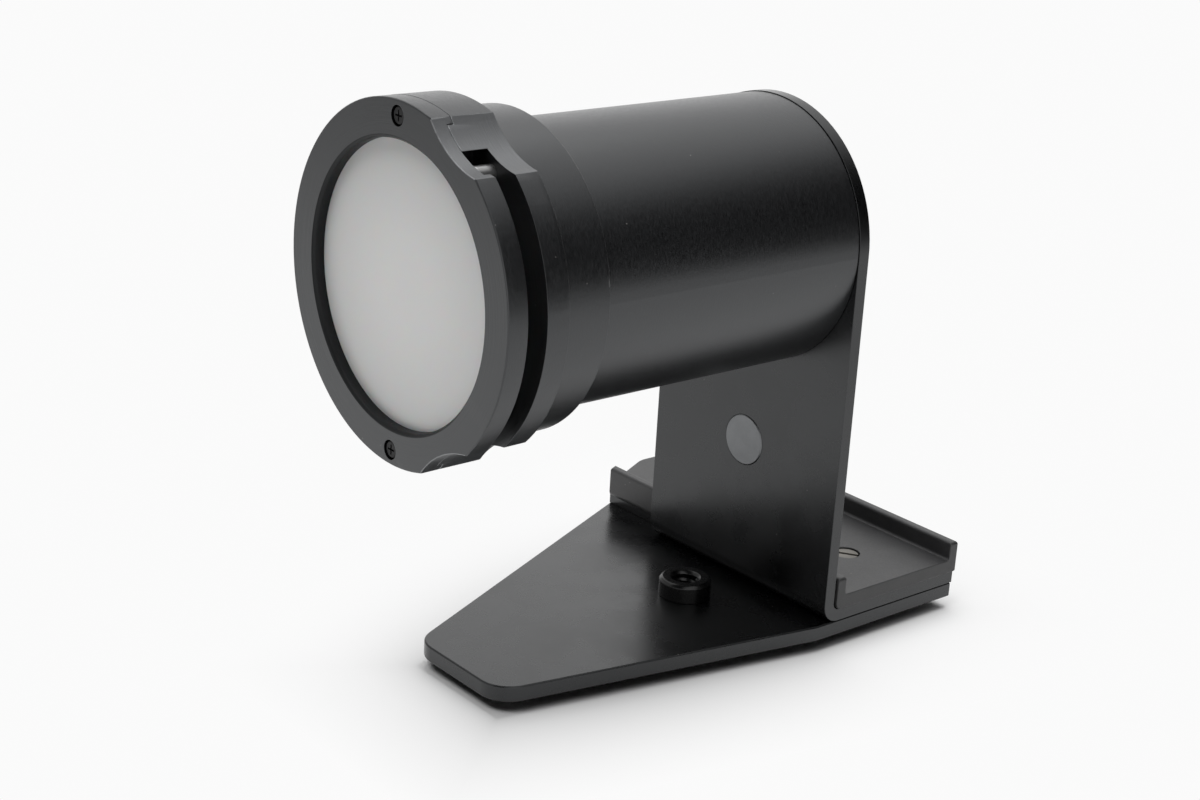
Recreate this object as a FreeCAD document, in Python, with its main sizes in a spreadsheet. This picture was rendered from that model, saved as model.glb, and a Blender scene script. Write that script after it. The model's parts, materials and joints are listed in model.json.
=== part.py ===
import FreeCAD, Part
import math
import os
import Sketcher

# A slide duplicator: a slide stage and an opal diffuser on the front of a
# light tube, a close-up lens inside the tube, and a bent bracket that carries
# the tube above a base plate and the camera behind it.
#
# Frame: millimetres, +Z up, +Y from the slide towards the camera, +X to the
# right of someone who faces the diffuser. The origin is the mouth of the
# tripod thread in the underside of the base plate.

SIZES = [
    # tube axis and the front of the slide head
    ("axis_height", 97.8, "tube axis above the underside of the base"),
    ("front_reach", 91.0, "front ring's face in front of the tripod thread"),
    # gaps that many parts share
    ("fit_gap", 0.05, "radial gap of a running or push fit"),
    ("part_gap", 0.1, "gap between parts that lie beside each other"),
    ("edge_break", 0.3, "broken edges of plates and turned parts"),
    # base plate
    ("base_thickness", 4.0, "base plate"),
    ("nose_reach", 71.3, "front edge of the base from the tripod thread"),
    ("nose_left", 15.2, "front edge, left end"),
    ("nose_right", 16.4, "front edge, right end"),
    ("nose_corner", 8.0, "radius of the two front corners"),
    ("heel_left", 64.7, "left side of the base behind its slanting edge"),
    ("heel_reach", 63.8, "rear edge of the base from the tripod thread"),
    ("heel_corner", 6.0, "radius of the rear left corner"),
    ("left_kink", 39.9, "where the left slanting edge ends"),
    ("left_kink_radius", 8.0, "rounding of the left kink"),
    ("right_kink", 15.0, "where the right slanting edge ends"),
    # bent bracket
    ("sheet_thickness", 3.2, "sheet of the bracket"),
    ("upright_margin", 0.2, "upright beyond the tube on each side"),
    ("upright_front", 16.7, "upright's front face from the tripod thread"),
    ("bend_inner", 1.8, "inner radius of the bend"),
    ("shelf_setback", 3.1, "foot's front edge left of the upright, behind it"),
    ("shelf_overhang", 0.4, "foot of the bracket beyond the rear edge of the base"),
    ("light_hole", 22.5, "radius of the hole in the upright"),
    ("badge_radius", 6.5, "blank disc on the upright"),
    ("badge_drop", 55.4, "disc's centre below the tube axis"),
    ("badge_pocket", 0.7, "depth of the disc's pocket"),
    ("badge_stand", 0.2, "disc proud of the upright"),
    # rubber feet
    ("foot_radius", 5.0, "rubber foot"),
    ("foot_height", 3.0, "rubber foot below the base"),
    ("foot_taper", 0.5, "rubber foot, taper towards the table"),
    ("foot_front_reach", 61.5, "front feet from the tripod thread"),
    ("foot_front_left", 6.5, "front left foot"),
    ("foot_front_right", 8.5, "front right foot"),
    ("foot_rear_reach", 40.5, "rear feet from the tripod thread"),
    ("foot_rear_left", 50.0, "rear left foot"),
    ("foot_rear_right", 24.5, "rear right foot"),
    # tripod bush
    ("bush_rim", 1.6, "flange beyond the shank of the bush"),
    ("bush_height", 4.8, "flange above the base"),
    ("bush_break", 0.7, "chamfer round the flange"),
    ("bush_shank", 5.0, "shank radius of the bush in the base"),
    ("thread_core", 2.6, "core radius of a quarter inch thread"),
    ("thread_sink", 1.6, "countersink over the thread"),
    # camera plate
    ("plate_floor", 3.7, "floor of the camera plate"),
    ("plate_lip_height", 4.8, "lips above the plate's floor"),
    ("plate_lip", 2.8, "thickness of a lip"),
    ("plate_gap", 0.5, "camera plate behind the upright"),
    ("plate_overhang", 0.5, "camera plate right of the upright"),
    ("plate_tail", 0.3, "camera plate beyond the rear edge of the bracket's foot"),
    ("plate_inset", 0.4, "camera plate short of the foot's left side"),
    ("plate_slant_inset", 1.4, "camera plate short of the base's slanting edge"),
    ("plate_round", 0.85, "rounded tops of the lips"),
    # screws in the camera plate
    ("plate_screw_right", 15.0, "right screw of the camera plate"),
    ("plate_screw_left", 44.9, "left screw of the camera plate"),
    ("plate_screw_head", 3.2, "head radius"),
    ("plate_screw_head_height", 2.2, "head height"),
    ("plate_screw_shank", 2.0, "shank radius"),
    ("plate_screw_play", 0.3, "pocket beyond the head, and head below the floor"),
    ("plate_screw_slot", 0.5, "half the width of the screwdriver slot"),
    ("plate_screw_slot_depth", 0.9, "depth of the screwdriver slot"),
    # captive camera screw
    ("camera_screw_thread", 3.17, "radius of the quarter inch camera screw"),
    ("camera_screw_head", 8.0, "radius of its coin slotted head"),
    ("camera_screw_head_height", 2.8, "height of its head"),
    ("camera_screw_stand", 4.5, "thread above the camera plate's floor"),
    ("camera_screw_point", 0.7, "chamfer at the screw's tip"),
    ("camera_screw_play", 0.25, "gap round the camera screw"),
    ("camera_head_play", 1.0, "gap round the screw's head and clip"),
    ("coin_slot", 0.8, "half the width of the coin slot"),
    ("coin_slot_depth", 1.4, "depth of the coin slot"),
    ("clip_width", 2.4, "ring width of the retaining clip"),
    ("clip_thickness", 0.7, "retaining clip"),
    ("clip_groove", 0.57, "depth of the clip's groove in the screw"),
    ("clip_mouth", 2.2, "half the opening of the clip"),
    # countersunk screws under the base and behind the tube
    ("screw_head", 2.9, "head radius"),
    ("screw_shank", 1.5, "shank radius"),
    ("screw_head_height", 1.7, "head height"),
    ("screw_inset", 8.0, "rear base screws from the sides of the foot"),
    ("screw_row", 6.0, "front base screws behind the foot's front edge"),
    ("screw_spread", 16.4, "front base screws from the middle"),
    ("screw_middle", 12.0, "middle rear base screw, left of the middle"),
    ("base_screw_end", 0.3, "base screws below the top of the bracket's foot"),
    ("drive_reach", 1.7, "half length of a cross recess"),
    ("drive_slot", 0.4, "half width of a cross recess"),
    ("drive_depth", 1.0, "depth of a cross recess"),
    # tube
    ("tube_radius", 32.65, "outside of the tube"),
    ("tube_wall", 2.45, "wall of the tube"),
    ("tube_flange", 4.0, "wall at the camera end of the tube"),
    ("tube_flange_step", 2.0, "hole in that wall beyond the upright's hole"),
    ("tube_screw_end", 0.4, "tube screws short of the wall's inside"),
    ("baffle_depth", 60.0, "baffle behind the front face"),
    ("baffle_width", 4.15, "baffle, from its rim to its hole"),
    ("baffle_thickness", 1.2, "baffle"),
    ("baffle_bevel", 0.8, "bevel behind the baffle's edge"),
    # collar
    ("collar_shell", 3.7, "collar round the tube"),
    ("collar_length", 13.65, "collar behind its front face"),
    ("collar_wall", 3.2, "front wall of the collar"),
    ("spigot_radius", 31.0, "pivot of the slide head on the collar"),
    ("spigot_length", 3.35, "length of that pivot"),
    ("spigot_groove", 1.4, "depth of the groove in the pivot"),
    ("spigot_groove_width", 2.1, "width of that groove"),
    ("spigot_wall", 2.6, "pivot's wall inside the groove"),
    ("collar_grub_setback", 8.7, "grub screw behind the collar's front face"),
    ("collar_grub_radius", 1.5, "grub screw in the collar"),
    # front ring and stage ring
    ("slide_half", 25.0, "half of a mounted slide"),
    ("slide_play", 0.7, "gap beside the slide"),
    ("corner_wall", 3.805, "ring beyond the corners of the slide channel"),
    ("ring_thickness", 5.0, "front ring at its rim"),
    ("ring_chamfer", 0.3, "chamfer on the ring's front edge"),
    ("ring_width", 7.75, "front ring from its rim to the window's bevel"),
    ("window_bevel", 0.8, "bevel round the window"),
    ("stage_thickness", 10.8, "stage ring at its rim"),
    ("joint_break", 0.15, "broken edges at the joint of the two rings"),
    ("slot_width", 4.9, "slide slot, front to back"),
    ("mouth_step", 6.85, "slot's mouth beyond the slide channel, each way"),
    ("mouth_start", 13.0, "mouth's inner end from the axis"),
    ("web_thickness", 2.5, "wall behind the slide"),
    ("scallop_radius", 23.0, "finger scallop"),
    ("scallop_bite", 3.0, "depth of the scallop in the ring"),
    ("scallop_angle", 60.0, "scallops above and below the horizontal"),
    ("groove_depth", 1.6, "depth of the joint groove"),
    ("groove_width", 3.8, "width of the joint groove"),
    ("groove_rim", 1.0, "rim outside the joint groove"),
    # diffuser
    ("diffuser_depth", 2.85, "diffuser behind the front face"),
    ("diffuser_thickness", 1.5, "opal disc"),
    ("diffuser_ledge", 2.2, "rebate beyond the window"),
    ("diffuser_play", 0.2, "gap round the opal disc"),
    ("snap_groove", 0.7, "snap ring's groove beyond the rebate"),
    ("snap_width", 0.4, "snap ring, front to back"),
    ("snap_height", 1.8, "snap ring, radial"),
    ("snap_opening", 2.0, "half the opening of the snap ring"),
    # ring screws
    ("ring_screw_edge", 3.4, "ring screws from the ring's rim"),
    ("ring_screw_head", 1.95, "head radius"),
    ("ring_screw_head_height", 1.3, "head height"),
    ("ring_screw_play", 0.3, "counterbore beyond the head, and head below the face"),
    ("ring_screw_shank", 1.0, "shank radius"),
    ("ring_screw_length", 5.5, "shank length"),
    ("ring_drive_reach", 1.2, "half length of its cross recess"),
    ("ring_drive_slot", 0.22, "half width of its cross recess"),
    ("ring_drive_depth", 0.7, "depth of its cross recess"),
    # slide guides
    ("guide_radius", 2.0, "guide pin beside the slot's mouth"),
    ("guide_setback", 6.3, "guide pins from the mouth's inner end"),
    ("guide_seat", 3.0, "pin's depth in the stage ring"),
    ("guide_break", 0.4, "chamfer of a guide pin"),
    # mask and springs
    ("mask_window", 18.25, "half the mask's square window"),
    ("mask_side", 4.75, "mask beside its window"),
    ("mask_strip", 1.35, "mask above and below its window"),
    ("mask_thickness", 0.8, "mask"),
    ("window_play", 0.45, "window in the stage ring beyond the mask's"),
    ("mask_screw_up", 10.0, "mask screws from the axis, upwards"),
    ("mask_screw_head", 1.4, "head radius"),
    ("mask_screw_shank", 0.75, "shank radius"),
    ("mask_screw_length", 1.5, "shank length behind the head"),
    ("mask_drive_slot", 0.2, "half width of its screwdriver slot"),
    ("mask_drive_depth", 0.35, "depth of that slot"),
    ("spring_margin", 1.25, "gap above and below a leaf spring"),
    ("spring_thickness", 0.3, "leaf spring"),
    ("spring_wall_gap", 0.15, "gap behind the spring's riveted end"),
    ("spring_root", 21.5, "riveted end of the spring from the axis"),
    ("spring_flat", 4.0, "riveted part of the spring"),
    ("spring_rise", 30.0, "sloping part of the spring"),
    ("spring_lift", 2.6, "spring's crest above its riveted end"),
    ("spring_tip", 7.0, "lead-in end of the spring"),
    ("spring_tip_drop", 0.6, "lead-in end below the crest"),
    ("spring_curve", 14.0, "radius of the crest"),
    ("rivet_radius", 0.8, "rivet shank"),
    ("rivet_head", 1.3, "rivet head radius"),
    ("rivet_head_height", 0.4, "rivet head"),
    ("rivet_head_break", 0.2, "chamfer of the rivet head"),
    ("rivet_end", 0.5, "rivet short of the stage ring's rear face"),
    # grub screws of the slide head
    ("head_grub_radius", 1.0, "grub screws in the stage ring"),
    ("head_grub_length", 6.4, "grub screws in the stage ring"),
    ("head_grub_angle", 45.0, "grub screws above and below the left side"),
    # lens
    ("cell_length", 14.7, "lens cell"),
    ("cell_shoulder", 2.0, "thickness of the shoulder behind the lens"),
    ("lens_radius", 22.0, "lens"),
    ("lens_seat", 1.5, "width of the shoulder"),
    ("lens_front_curve", 70.0, "radius of the front surface"),
    ("lens_middle_curve", 55.0, "radius of the cemented surface"),
    ("crown_centre", 9.0, "crown element on the axis"),
    ("flint_centre", 2.0, "flint element on the axis"),
    ("lens_ring", 1.8, "retaining ring of the lens"),
    ("key_slot", 0.6, "half width of the retaining ring's key slots"),
    ("key_slot_depth", 0.9, "depth of those slots"),
]


class Size:
    """A number that keeps the spreadsheet formula it was worked out with."""

    def __init__(self, value, formula):
        self.value = value
        self.formula = formula

    def __add__(self, other):
        other = as_size(other)
        return Size(self.value + other.value, f"({self.formula} + {other.formula})")

    def __sub__(self, other):
        other = as_size(other)
        return Size(self.value - other.value, f"({self.formula} - {other.formula})")

    def __mul__(self, other):
        other = as_size(other)
        return Size(self.value * other.value, f"({self.formula} * {other.formula})")

    def __truediv__(self, other):
        other = as_size(other)
        return Size(self.value / other.value, f"({self.formula} / {other.formula})")

    def __neg__(self):
        return Size(-self.value, f"(0 - {self.formula})")

    def __rsub__(self, other):
        return as_size(other) - self

    def __rmul__(self, other):
        return as_size(other) * self


def as_size(number):
    return number if isinstance(number, Size) else Size(float(number), repr(float(number)))


def root(size):
    return Size(math.sqrt(size.value), f"sqrt({size.formula})")


def around(radius, angle):
    """The point at a radius and an angle in degrees from the first axis."""
    radius, angle = as_size(radius), as_size(angle)
    turn = math.radians(angle.value)
    along = Size(radius.value * math.cos(turn), f"({radius.formula} * cos({angle.formula} * 1 deg))")
    up = Size(radius.value * math.sin(turn), f"({radius.formula} * sin({angle.formula} * 1 deg))")
    return along, up


doc = FreeCAD.newDocument("slide_duplicator")
sheet = doc.addObject("Spreadsheet::Sheet", "Sizes")
sizes = {}
for row, (alias, value, note) in enumerate(SIZES, start=1):
    sheet.set(f"A{row}", note)
    sheet.set(f"B{row}", str(value))
    sheet.setAlias(f"B{row}", alias)
    sizes[alias] = Size(value, f"Sizes.{alias}")
doc.recompute()


def size(alias):
    return sizes[alias]


# ---------------------------------------------------------------- places

NODES = []

# Heights above the underside of the base.
BASE_TOP = size("base_thickness")
SHELF_TOP = BASE_TOP + size("sheet_thickness")
FLOOR_TOP = SHELF_TOP + size("plate_floor")
LIP_TOP = FLOOR_TOP + size("plate_lip_height")
CLIP_BOTTOM = FLOOR_TOP - 1.5 * size("clip_thickness")

# Distances from the tripod thread, backwards.
FRONT = -size("front_reach")
UPRIGHT_BACK = size("upright_front") + size("sheet_thickness")
SHELF_FRONT = UPRIGHT_BACK + size("shelf_setback")
UPRIGHT_HALF = size("tube_radius") + size("upright_margin")
PLATE_FRONT = UPRIGHT_BACK + size("plate_gap")
SHELF_BACK = size("heel_reach") + size("shelf_overhang")
PLATE_BACK = SHELF_BACK + size("plate_tail")
PLATE_MIDDLE = (PLATE_FRONT + PLATE_BACK) / 2

# Depths behind the front ring's face, along the tube axis.
JOINT = size("ring_thickness")
STAGE_NOSE = JOINT - size("groove_depth") + size("part_gap")
SLOT_BACK = JOINT + size("slot_width")
WEB_BACK = SLOT_BACK + size("web_thickness")
STAGE_END = JOINT + size("stage_thickness")
COLLAR_FRONT = STAGE_END + size("fit_gap")
SPIGOT_FRONT = COLLAR_FRONT - size("spigot_length")
GROOVE_MIDDLE = COLLAR_FRONT - size("spigot_length") / 2
COLLAR_END = COLLAR_FRONT + size("collar_length")
COLLAR_SEAT = COLLAR_FRONT + size("collar_wall")
UPRIGHT_DEPTH = size("front_reach") + size("upright_front")
CELL_BACK = UPRIGHT_DEPTH - size("tube_flange")
LENS_EDGE = CELL_BACK - size("cell_shoulder")
CROWN_BACK = LENS_EDGE - size("flint_centre")
CROWN_FRONT = CROWN_BACK - size("crown_centre")

# Radii and half widths about the tube axis.
CHANNEL = size("slide_half") + size("slide_play")
RING = root(2 * CHANNEL * CHANNEL) + size("corner_wall")
WINDOW = RING - size("ring_width") - size("window_bevel")
DIFFUSER_SEAT = WINDOW + size("diffuser_ledge")
GROOVE_OUTER = RING - size("groove_rim")
GROOVE_INNER = GROOVE_OUTER - size("groove_width")
MOUTH = CHANNEL + size("mouth_step")
TUBE_BORE = size("tube_radius") - size("tube_wall")
TUBE_SEAT = size("tube_radius") + size("fit_gap")
COLLAR = TUBE_SEAT + size("collar_shell")
SPIGOT_GROOVE = size("spigot_radius") - size("spigot_groove")
COLLAR_BORE = SPIGOT_GROOVE - size("spigot_wall")
MASK_WIDE = size("mask_window") + size("mask_side")
MASK_TALL = size("mask_window") + size("mask_strip")
LENS_SEAT = size("lens_radius") - size("lens_seat")

# Turns that bring a part's own +Z to the front, the back and the floor.
TO_FRONT = FreeCAD.Rotation(FreeCAD.Vector(1, 0, 0), 90)
TO_BACK = FreeCAD.Rotation(FreeCAD.Vector(1, 0, 0), -90)
TO_FLOOR = FreeCAD.Rotation(FreeCAD.Vector(1, 0, 0), 180)


# ---------------------------------------------------------------- helpers

def bind(thing, path, amount):
    thing.setExpression(path, as_size(amount).formula)


def stand_at(thing, x, y, z, rotation=None):
    """Place a sub-part, with each coordinate bound to the sheet."""
    spots = [as_size(amount) for amount in (x, y, z)]
    place = FreeCAD.Vector(*[spot.value for spot in spots])
    thing.Placement = FreeCAD.Placement(place, rotation or FreeCAD.Rotation())
    for axis, spot in zip("xyz", spots):
        bind(thing, f".Placement.Base.{axis}", spot)


def new_model(label):
    """A body that other objects copy or cut with."""
    body = doc.addObject("PartDesign::Body", label)
    body.Label = label
    return body


def new_body(label, x=0, y=0, z=0, rotation=None):
    """A body that is a node of its own."""
    body = new_model(label)
    stand_at(body, x, y, z, rotation)
    NODES.append(body)
    return body


def optical_body(label):
    """A node on the tube axis: its own z is minus the depth behind the front face."""
    return new_body(label, 0, FRONT, size("axis_height"), TO_FRONT)


def origin_plane(body, role):
    return [item for item in body.Origin.OriginFeatures if item.Role == role][0]


def add_sketch(body, name, plane, offset=None):
    sketch = body.newObject("Sketcher::SketchObject", f"{body.Name}_{name}")
    sketch.AttachmentSupport = (origin_plane(body, plane), [""])
    sketch.MapMode = "FlatFace"
    if offset is not None:
        bind(sketch, ".AttachmentOffset.Base.z", offset)
    return sketch


def pin_point(sketch, item, end, x, y):
    for kind, amount in (("DistanceX", as_size(x)), ("DistanceY", as_size(y))):
        rule = Sketcher.Constraint(kind, -1, 1, item, end, amount.value)
        number = sketch.addConstraint(rule)
        bind(sketch, f"Constraints[{number}]", amount)


def draw_outline(sketch, corners):
    """A closed run of straight lines through the given corners."""
    spots = [(as_size(x), as_size(y)) for x, y in corners]
    vectors = [FreeCAD.Vector(x.value, y.value, 0) for x, y in spots]
    lines = [
        sketch.addGeometry(Part.LineSegment(start, end), False)
        for start, end in zip(vectors, vectors[1:] + vectors[:1])
    ]
    for line, after in zip(lines, lines[1:] + lines[:1]):
        sketch.addConstraint(Sketcher.Constraint("Coincident", line, 2, after, 1))
    for line, (x, y) in zip(lines, spots):
        pin_point(sketch, line, 1, x, y)


def draw_circle(sketch, x, y, radius):
    x, y, radius = as_size(x), as_size(y), as_size(radius)
    centre = FreeCAD.Vector(x.value, y.value, 0)
    circle = Part.Circle(centre, FreeCAD.Vector(0, 0, 1), radius.value)
    item = sketch.addGeometry(circle, False)
    pin_point(sketch, item, 3, x, y)
    number = sketch.addConstraint(Sketcher.Constraint("Radius", item, radius.value))
    bind(sketch, f"Constraints[{number}]", radius)


def draw_circles(sketch, spots, radius):
    for x, y in spots:
        draw_circle(sketch, x, y, radius)


def draw_block(sketch, low_x, high_x, low_y, high_y):
    draw_outline(sketch, [(low_x, low_y), (high_x, low_y), (high_x, high_y), (low_x, high_y)])


def pad(body, sketch, length, reverse=False):
    feature = body.newObject("PartDesign::Pad", f"{sketch.Name}_pad")
    feature.Profile = sketch
    feature.Reversed = reverse
    bind(feature, "Length", length)
    return feature


def pocket(body, sketch, depth, reverse=False):
    feature = body.newObject("PartDesign::Pocket", f"{sketch.Name}_pocket")
    feature.Profile = sketch
    feature.Reversed = reverse
    bind(feature, "Length", depth)
    return feature


def cut_through(body, sketch):
    """Cut a sketch through the whole body, both ways."""
    feature = body.newObject("PartDesign::Pocket", f"{sketch.Name}_through")
    feature.Profile = sketch
    feature.SideType = "Symmetric"
    bind(feature, "Length", 4 * size("front_reach"))
    return feature


def turn(body, profile):
    """Revolve a (radius, height) profile about the body's own Z."""
    sketch = add_sketch(body, "profile", "XZ_Plane")
    draw_outline(sketch, profile)
    feature = body.newObject("PartDesign::Revolution", f"{sketch.Name}_turn")
    feature.Profile = sketch
    feature.ReferenceAxis = (sketch, ["V_Axis"])
    feature.Angle = 360
    return feature


def turned_body(label, profile):
    """A node on the tube axis, turned from (radius, depth) corners."""
    body = optical_body(label)
    feature = turn(body, [(radius, -as_size(depth)) for radius, depth in profile])
    return body, feature


def edges_where(feature, test):
    """Names of a feature's edges whose two ends and middle pass a test."""
    doc.recompute()
    names = []
    for number, edge in enumerate(feature.Shape.Edges, start=1):
        first, last = edge.FirstParameter, edge.LastParameter
        spots = [edge.valueAt(spot) for spot in (first, last, (first + last) / 2)]
        if all(test(spot) for spot in spots):
            names.append(f"Edge{number}")
    return names


def soften(body, feature, test, amount, kind="Fillet"):
    """Fillet or chamfer the edges that pass a test."""
    names = edges_where(feature, test)
    if not names:
        raise RuntimeError(f"{body.Label}: no edge for a {kind}")
    soft = body.newObject(f"PartDesign::{kind}", f"{feature.Name}_{kind.lower()}")
    soft.Base = (feature, names)
    bind(soft, "Radius" if kind == "Fillet" else "Size", amount)
    doc.recompute()
    return soft


def near(amount, other):
    return abs(amount - as_size(other).value) < 1e-4


def at_corner(x, y):
    """True on the upright edge that stands at x, y."""
    return lambda spot: near(spot.x, x) and near(spot.y, y)


def at_rim(radius, depth):
    """True on the round edge at a radius and a depth, in an optical body."""
    return lambda spot: near(math.hypot(spot.x, spot.y), radius) and near(spot.z, -as_size(depth))


def group(label, model, places):
    """Copies of one fastener as separate solids in one node."""
    copies = []
    for number, (x, y, z, rotation) in enumerate(places, start=1):
        copy = doc.addObject("App::Link", f"{label}_{number}")
        copy.LinkedObject = model
        stand_at(copy, x, y, z, rotation)
        copies.append(copy)
    bundle = doc.addObject("Part::Compound", label)
    bundle.Label = label
    bundle.Links = copies
    NODES.append(bundle)


def place_on_axis(depth, spots):
    """Places that face the front, at a depth and at (right, up) of the axis."""
    return [(x, FRONT + depth, size("axis_height") + up, TO_FRONT) for x, up in spots]


def cheese_screw(label, head, head_height, shank, length):
    """A flat headed screw that points down -Z, its head's top at the origin."""
    model = new_model(label)
    turn(model, [
        (0, 0), (head, 0), (head, -head_height), (shank, -head_height),
        (shank, -(head_height + length)), (0, -(head_height + length)),
    ])
    return model


def countersunk_screw(label, length):
    """A countersunk screw that points down -Z, its head's top at the origin."""
    model = new_model(label)
    turn(model, [
        (0, 0), (size("screw_head"), 0), (size("screw_shank"), -size("screw_head_height")),
        (size("screw_shank"), -length), (0, -length),
    ])
    cut_cross(model, size("drive_reach"), size("drive_slot"), size("drive_depth"))
    return model


def grub_screw(body, radius, length):
    """A socket grub screw that points down -Z, its top at the origin."""
    point = 0.6 * radius
    turn(body, [
        (0, 0), (radius, 0), (radius, point - length), (point, -length), (0, -length),
    ])
    socket = add_sketch(body, "socket", "XY_Plane")
    draw_outline(socket, [around(point, 60 * corner) for corner in range(6)])
    pocket(body, socket, radius)


def cut_slot(body, half_long, half_wide, depth, name="slot"):
    """A screwdriver slot in the top of a screw."""
    sketch = add_sketch(body, name, "XY_Plane")
    draw_block(sketch, -half_long, half_long, -half_wide, half_wide)
    pocket(body, sketch, depth)


def cut_cross(body, half_long, half_wide, depth):
    """A cross recess in the top of a screw."""
    cut_slot(body, half_long, half_wide, depth)
    cut_slot(body, half_wide, half_long, depth, "cross_slot")


# ---------------------------------------------------------------- base plate

def slant_left(y):
    """The left slanting edge of the base at a distance y."""
    run = size("left_kink") + size("nose_reach")
    rise = size("heel_left") - size("nose_left")
    return -(size("nose_left") + rise * (as_size(y) + size("nose_reach")) / run)


def base_screw_spots():
    """Where the base is screwed to the bracket's foot."""
    front_row = SHELF_FRONT + size("screw_row")
    rear_row = size("heel_reach") - size("screw_inset")
    return [
        (-size("screw_spread"), front_row),
        (size("screw_spread"), front_row),
        (UPRIGHT_HALF - size("screw_inset"), rear_row),
        (-size("screw_middle"), rear_row),
        (size("screw_inset") - size("heel_left"), rear_row),
    ]


def round_left_side(body, feature, back):
    """Round the left side's kink and its rear corner."""
    heel = at_corner(-size("heel_left"), back)
    feature = soften(body, feature, heel, size("heel_corner"))
    kink = at_corner(-size("heel_left"), size("left_kink"))
    return soften(body, feature, kink, size("left_kink_radius"))


def make_base_plate():
    body = new_body("base_plate")
    outline = add_sketch(body, "outline", "XY_Plane")
    draw_outline(outline, [
        (-size("nose_left"), -size("nose_reach")),
        (size("nose_right"), -size("nose_reach")),
        (UPRIGHT_HALF, size("right_kink")),
        (UPRIGHT_HALF, size("heel_reach")),
        (-size("heel_left"), size("heel_reach")),
        (-size("heel_left"), size("left_kink")),
    ])
    slab = pad(body, outline, BASE_TOP)
    left_nose = at_corner(-size("nose_left"), -size("nose_reach"))
    right_nose = at_corner(size("nose_right"), -size("nose_reach"))
    slab = soften(body, slab, lambda spot: left_nose(spot) or right_nose(spot), size("nose_corner"))
    slab = round_left_side(body, slab, size("heel_reach"))
    slab = soften(body, slab, lambda spot: near(spot.z, BASE_TOP), size("edge_break"), "Chamfer")
    slab = soften(body, slab, lambda spot: near(spot.z, 0), size("edge_break"), "Chamfer")
    holes = add_sketch(body, "holes", "XY_Plane")
    draw_circle(holes, 0, 0, size("bush_shank"))
    draw_circle(holes, 0, PLATE_MIDDLE, size("camera_screw_head") + size("camera_head_play"))
    draw_circles(holes, base_screw_spots(), size("screw_shank") + size("part_gap"))
    cut_through(body, holes)
    for number, (x, y) in enumerate(base_screw_spots(), start=1):
        sink = body.newObject("PartDesign::SubtractiveCone", f"base_sink_{number}")
        bind(sink, "Radius1", size("screw_head") + size("part_gap"))
        bind(sink, "Radius2", size("screw_shank") + size("part_gap"))
        bind(sink, "Height", size("screw_head_height"))
        sink.AttachmentSupport = (origin_plane(body, "XY_Plane"), [""])
        sink.MapMode = "FlatFace"
        bind(sink, ".AttachmentOffset.Base.x", x)
        bind(sink, ".AttachmentOffset.Base.y", y)


def make_base_screws():
    model = countersunk_screw("base_screw", SHELF_TOP - size("base_screw_end"))
    group("base_screws", model, [(x, y, 0, TO_FLOOR) for x, y in base_screw_spots()])


def make_rubber_feet():
    model = new_model("rubber_foot")
    turn(model, [
        (0, 0), (size("foot_radius"), 0),
        (size("foot_radius") - size("foot_taper"), -size("foot_height")),
        (0, -size("foot_height")),
    ])
    group("rubber_feet", model, [
        (-size("foot_front_left"), -size("foot_front_reach"), 0, None),
        (size("foot_front_right"), -size("foot_front_reach"), 0, None),
        (-size("foot_rear_left"), size("foot_rear_reach"), 0, None),
        (size("foot_rear_right"), size("foot_rear_reach"), 0, None),
    ])


def make_tripod_bush():
    body = new_body("tripod_bush")
    flange = size("bush_shank") + size("bush_rim")
    top = BASE_TOP + size("bush_height")
    turn(body, [
        (size("thread_core"), 0),
        (size("bush_shank"), 0),
        (size("bush_shank"), BASE_TOP),
        (flange, BASE_TOP),
        (flange, top - size("bush_break")),
        (flange - size("bush_break"), top),
        (size("thread_core") + size("thread_sink"), top),
        (size("thread_core"), top - size("thread_sink")),
    ])


# ---------------------------------------------------------------- bracket

def tube_screw_spots():
    """The four tube screws, right of and above the tube axis."""
    circle = (size("light_hole") + UPRIGHT_HALF) / 2
    return [around(circle, angle) for angle in (45, 135, 225, 315)]


def on_upright(spots):
    return [(x, size("axis_height") + up) for x, up in spots]


def bend_angle(body):
    """The upright's straight part and the foot below it, with their bend."""
    side = add_sketch(body, "side", "YZ_Plane", -UPRIGHT_HALF)
    draw_outline(side, [
        (size("upright_front"), BASE_TOP),
        (SHELF_BACK, BASE_TOP),
        (SHELF_BACK, SHELF_TOP),
        (UPRIGHT_BACK, SHELF_TOP),
        (UPRIGHT_BACK, size("axis_height")),
        (size("upright_front"), size("axis_height")),
    ])
    angle = pad(body, side, 2 * UPRIGHT_HALF)
    outer = soften(
        body, angle,
        lambda spot: near(spot.y, size("upright_front")) and near(spot.z, BASE_TOP),
        size("bend_inner") + size("sheet_thickness"))
    return soften(
        body, outer,
        lambda spot: near(spot.y, UPRIGHT_BACK) and near(spot.z, SHELF_TOP),
        size("bend_inner"))


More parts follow.
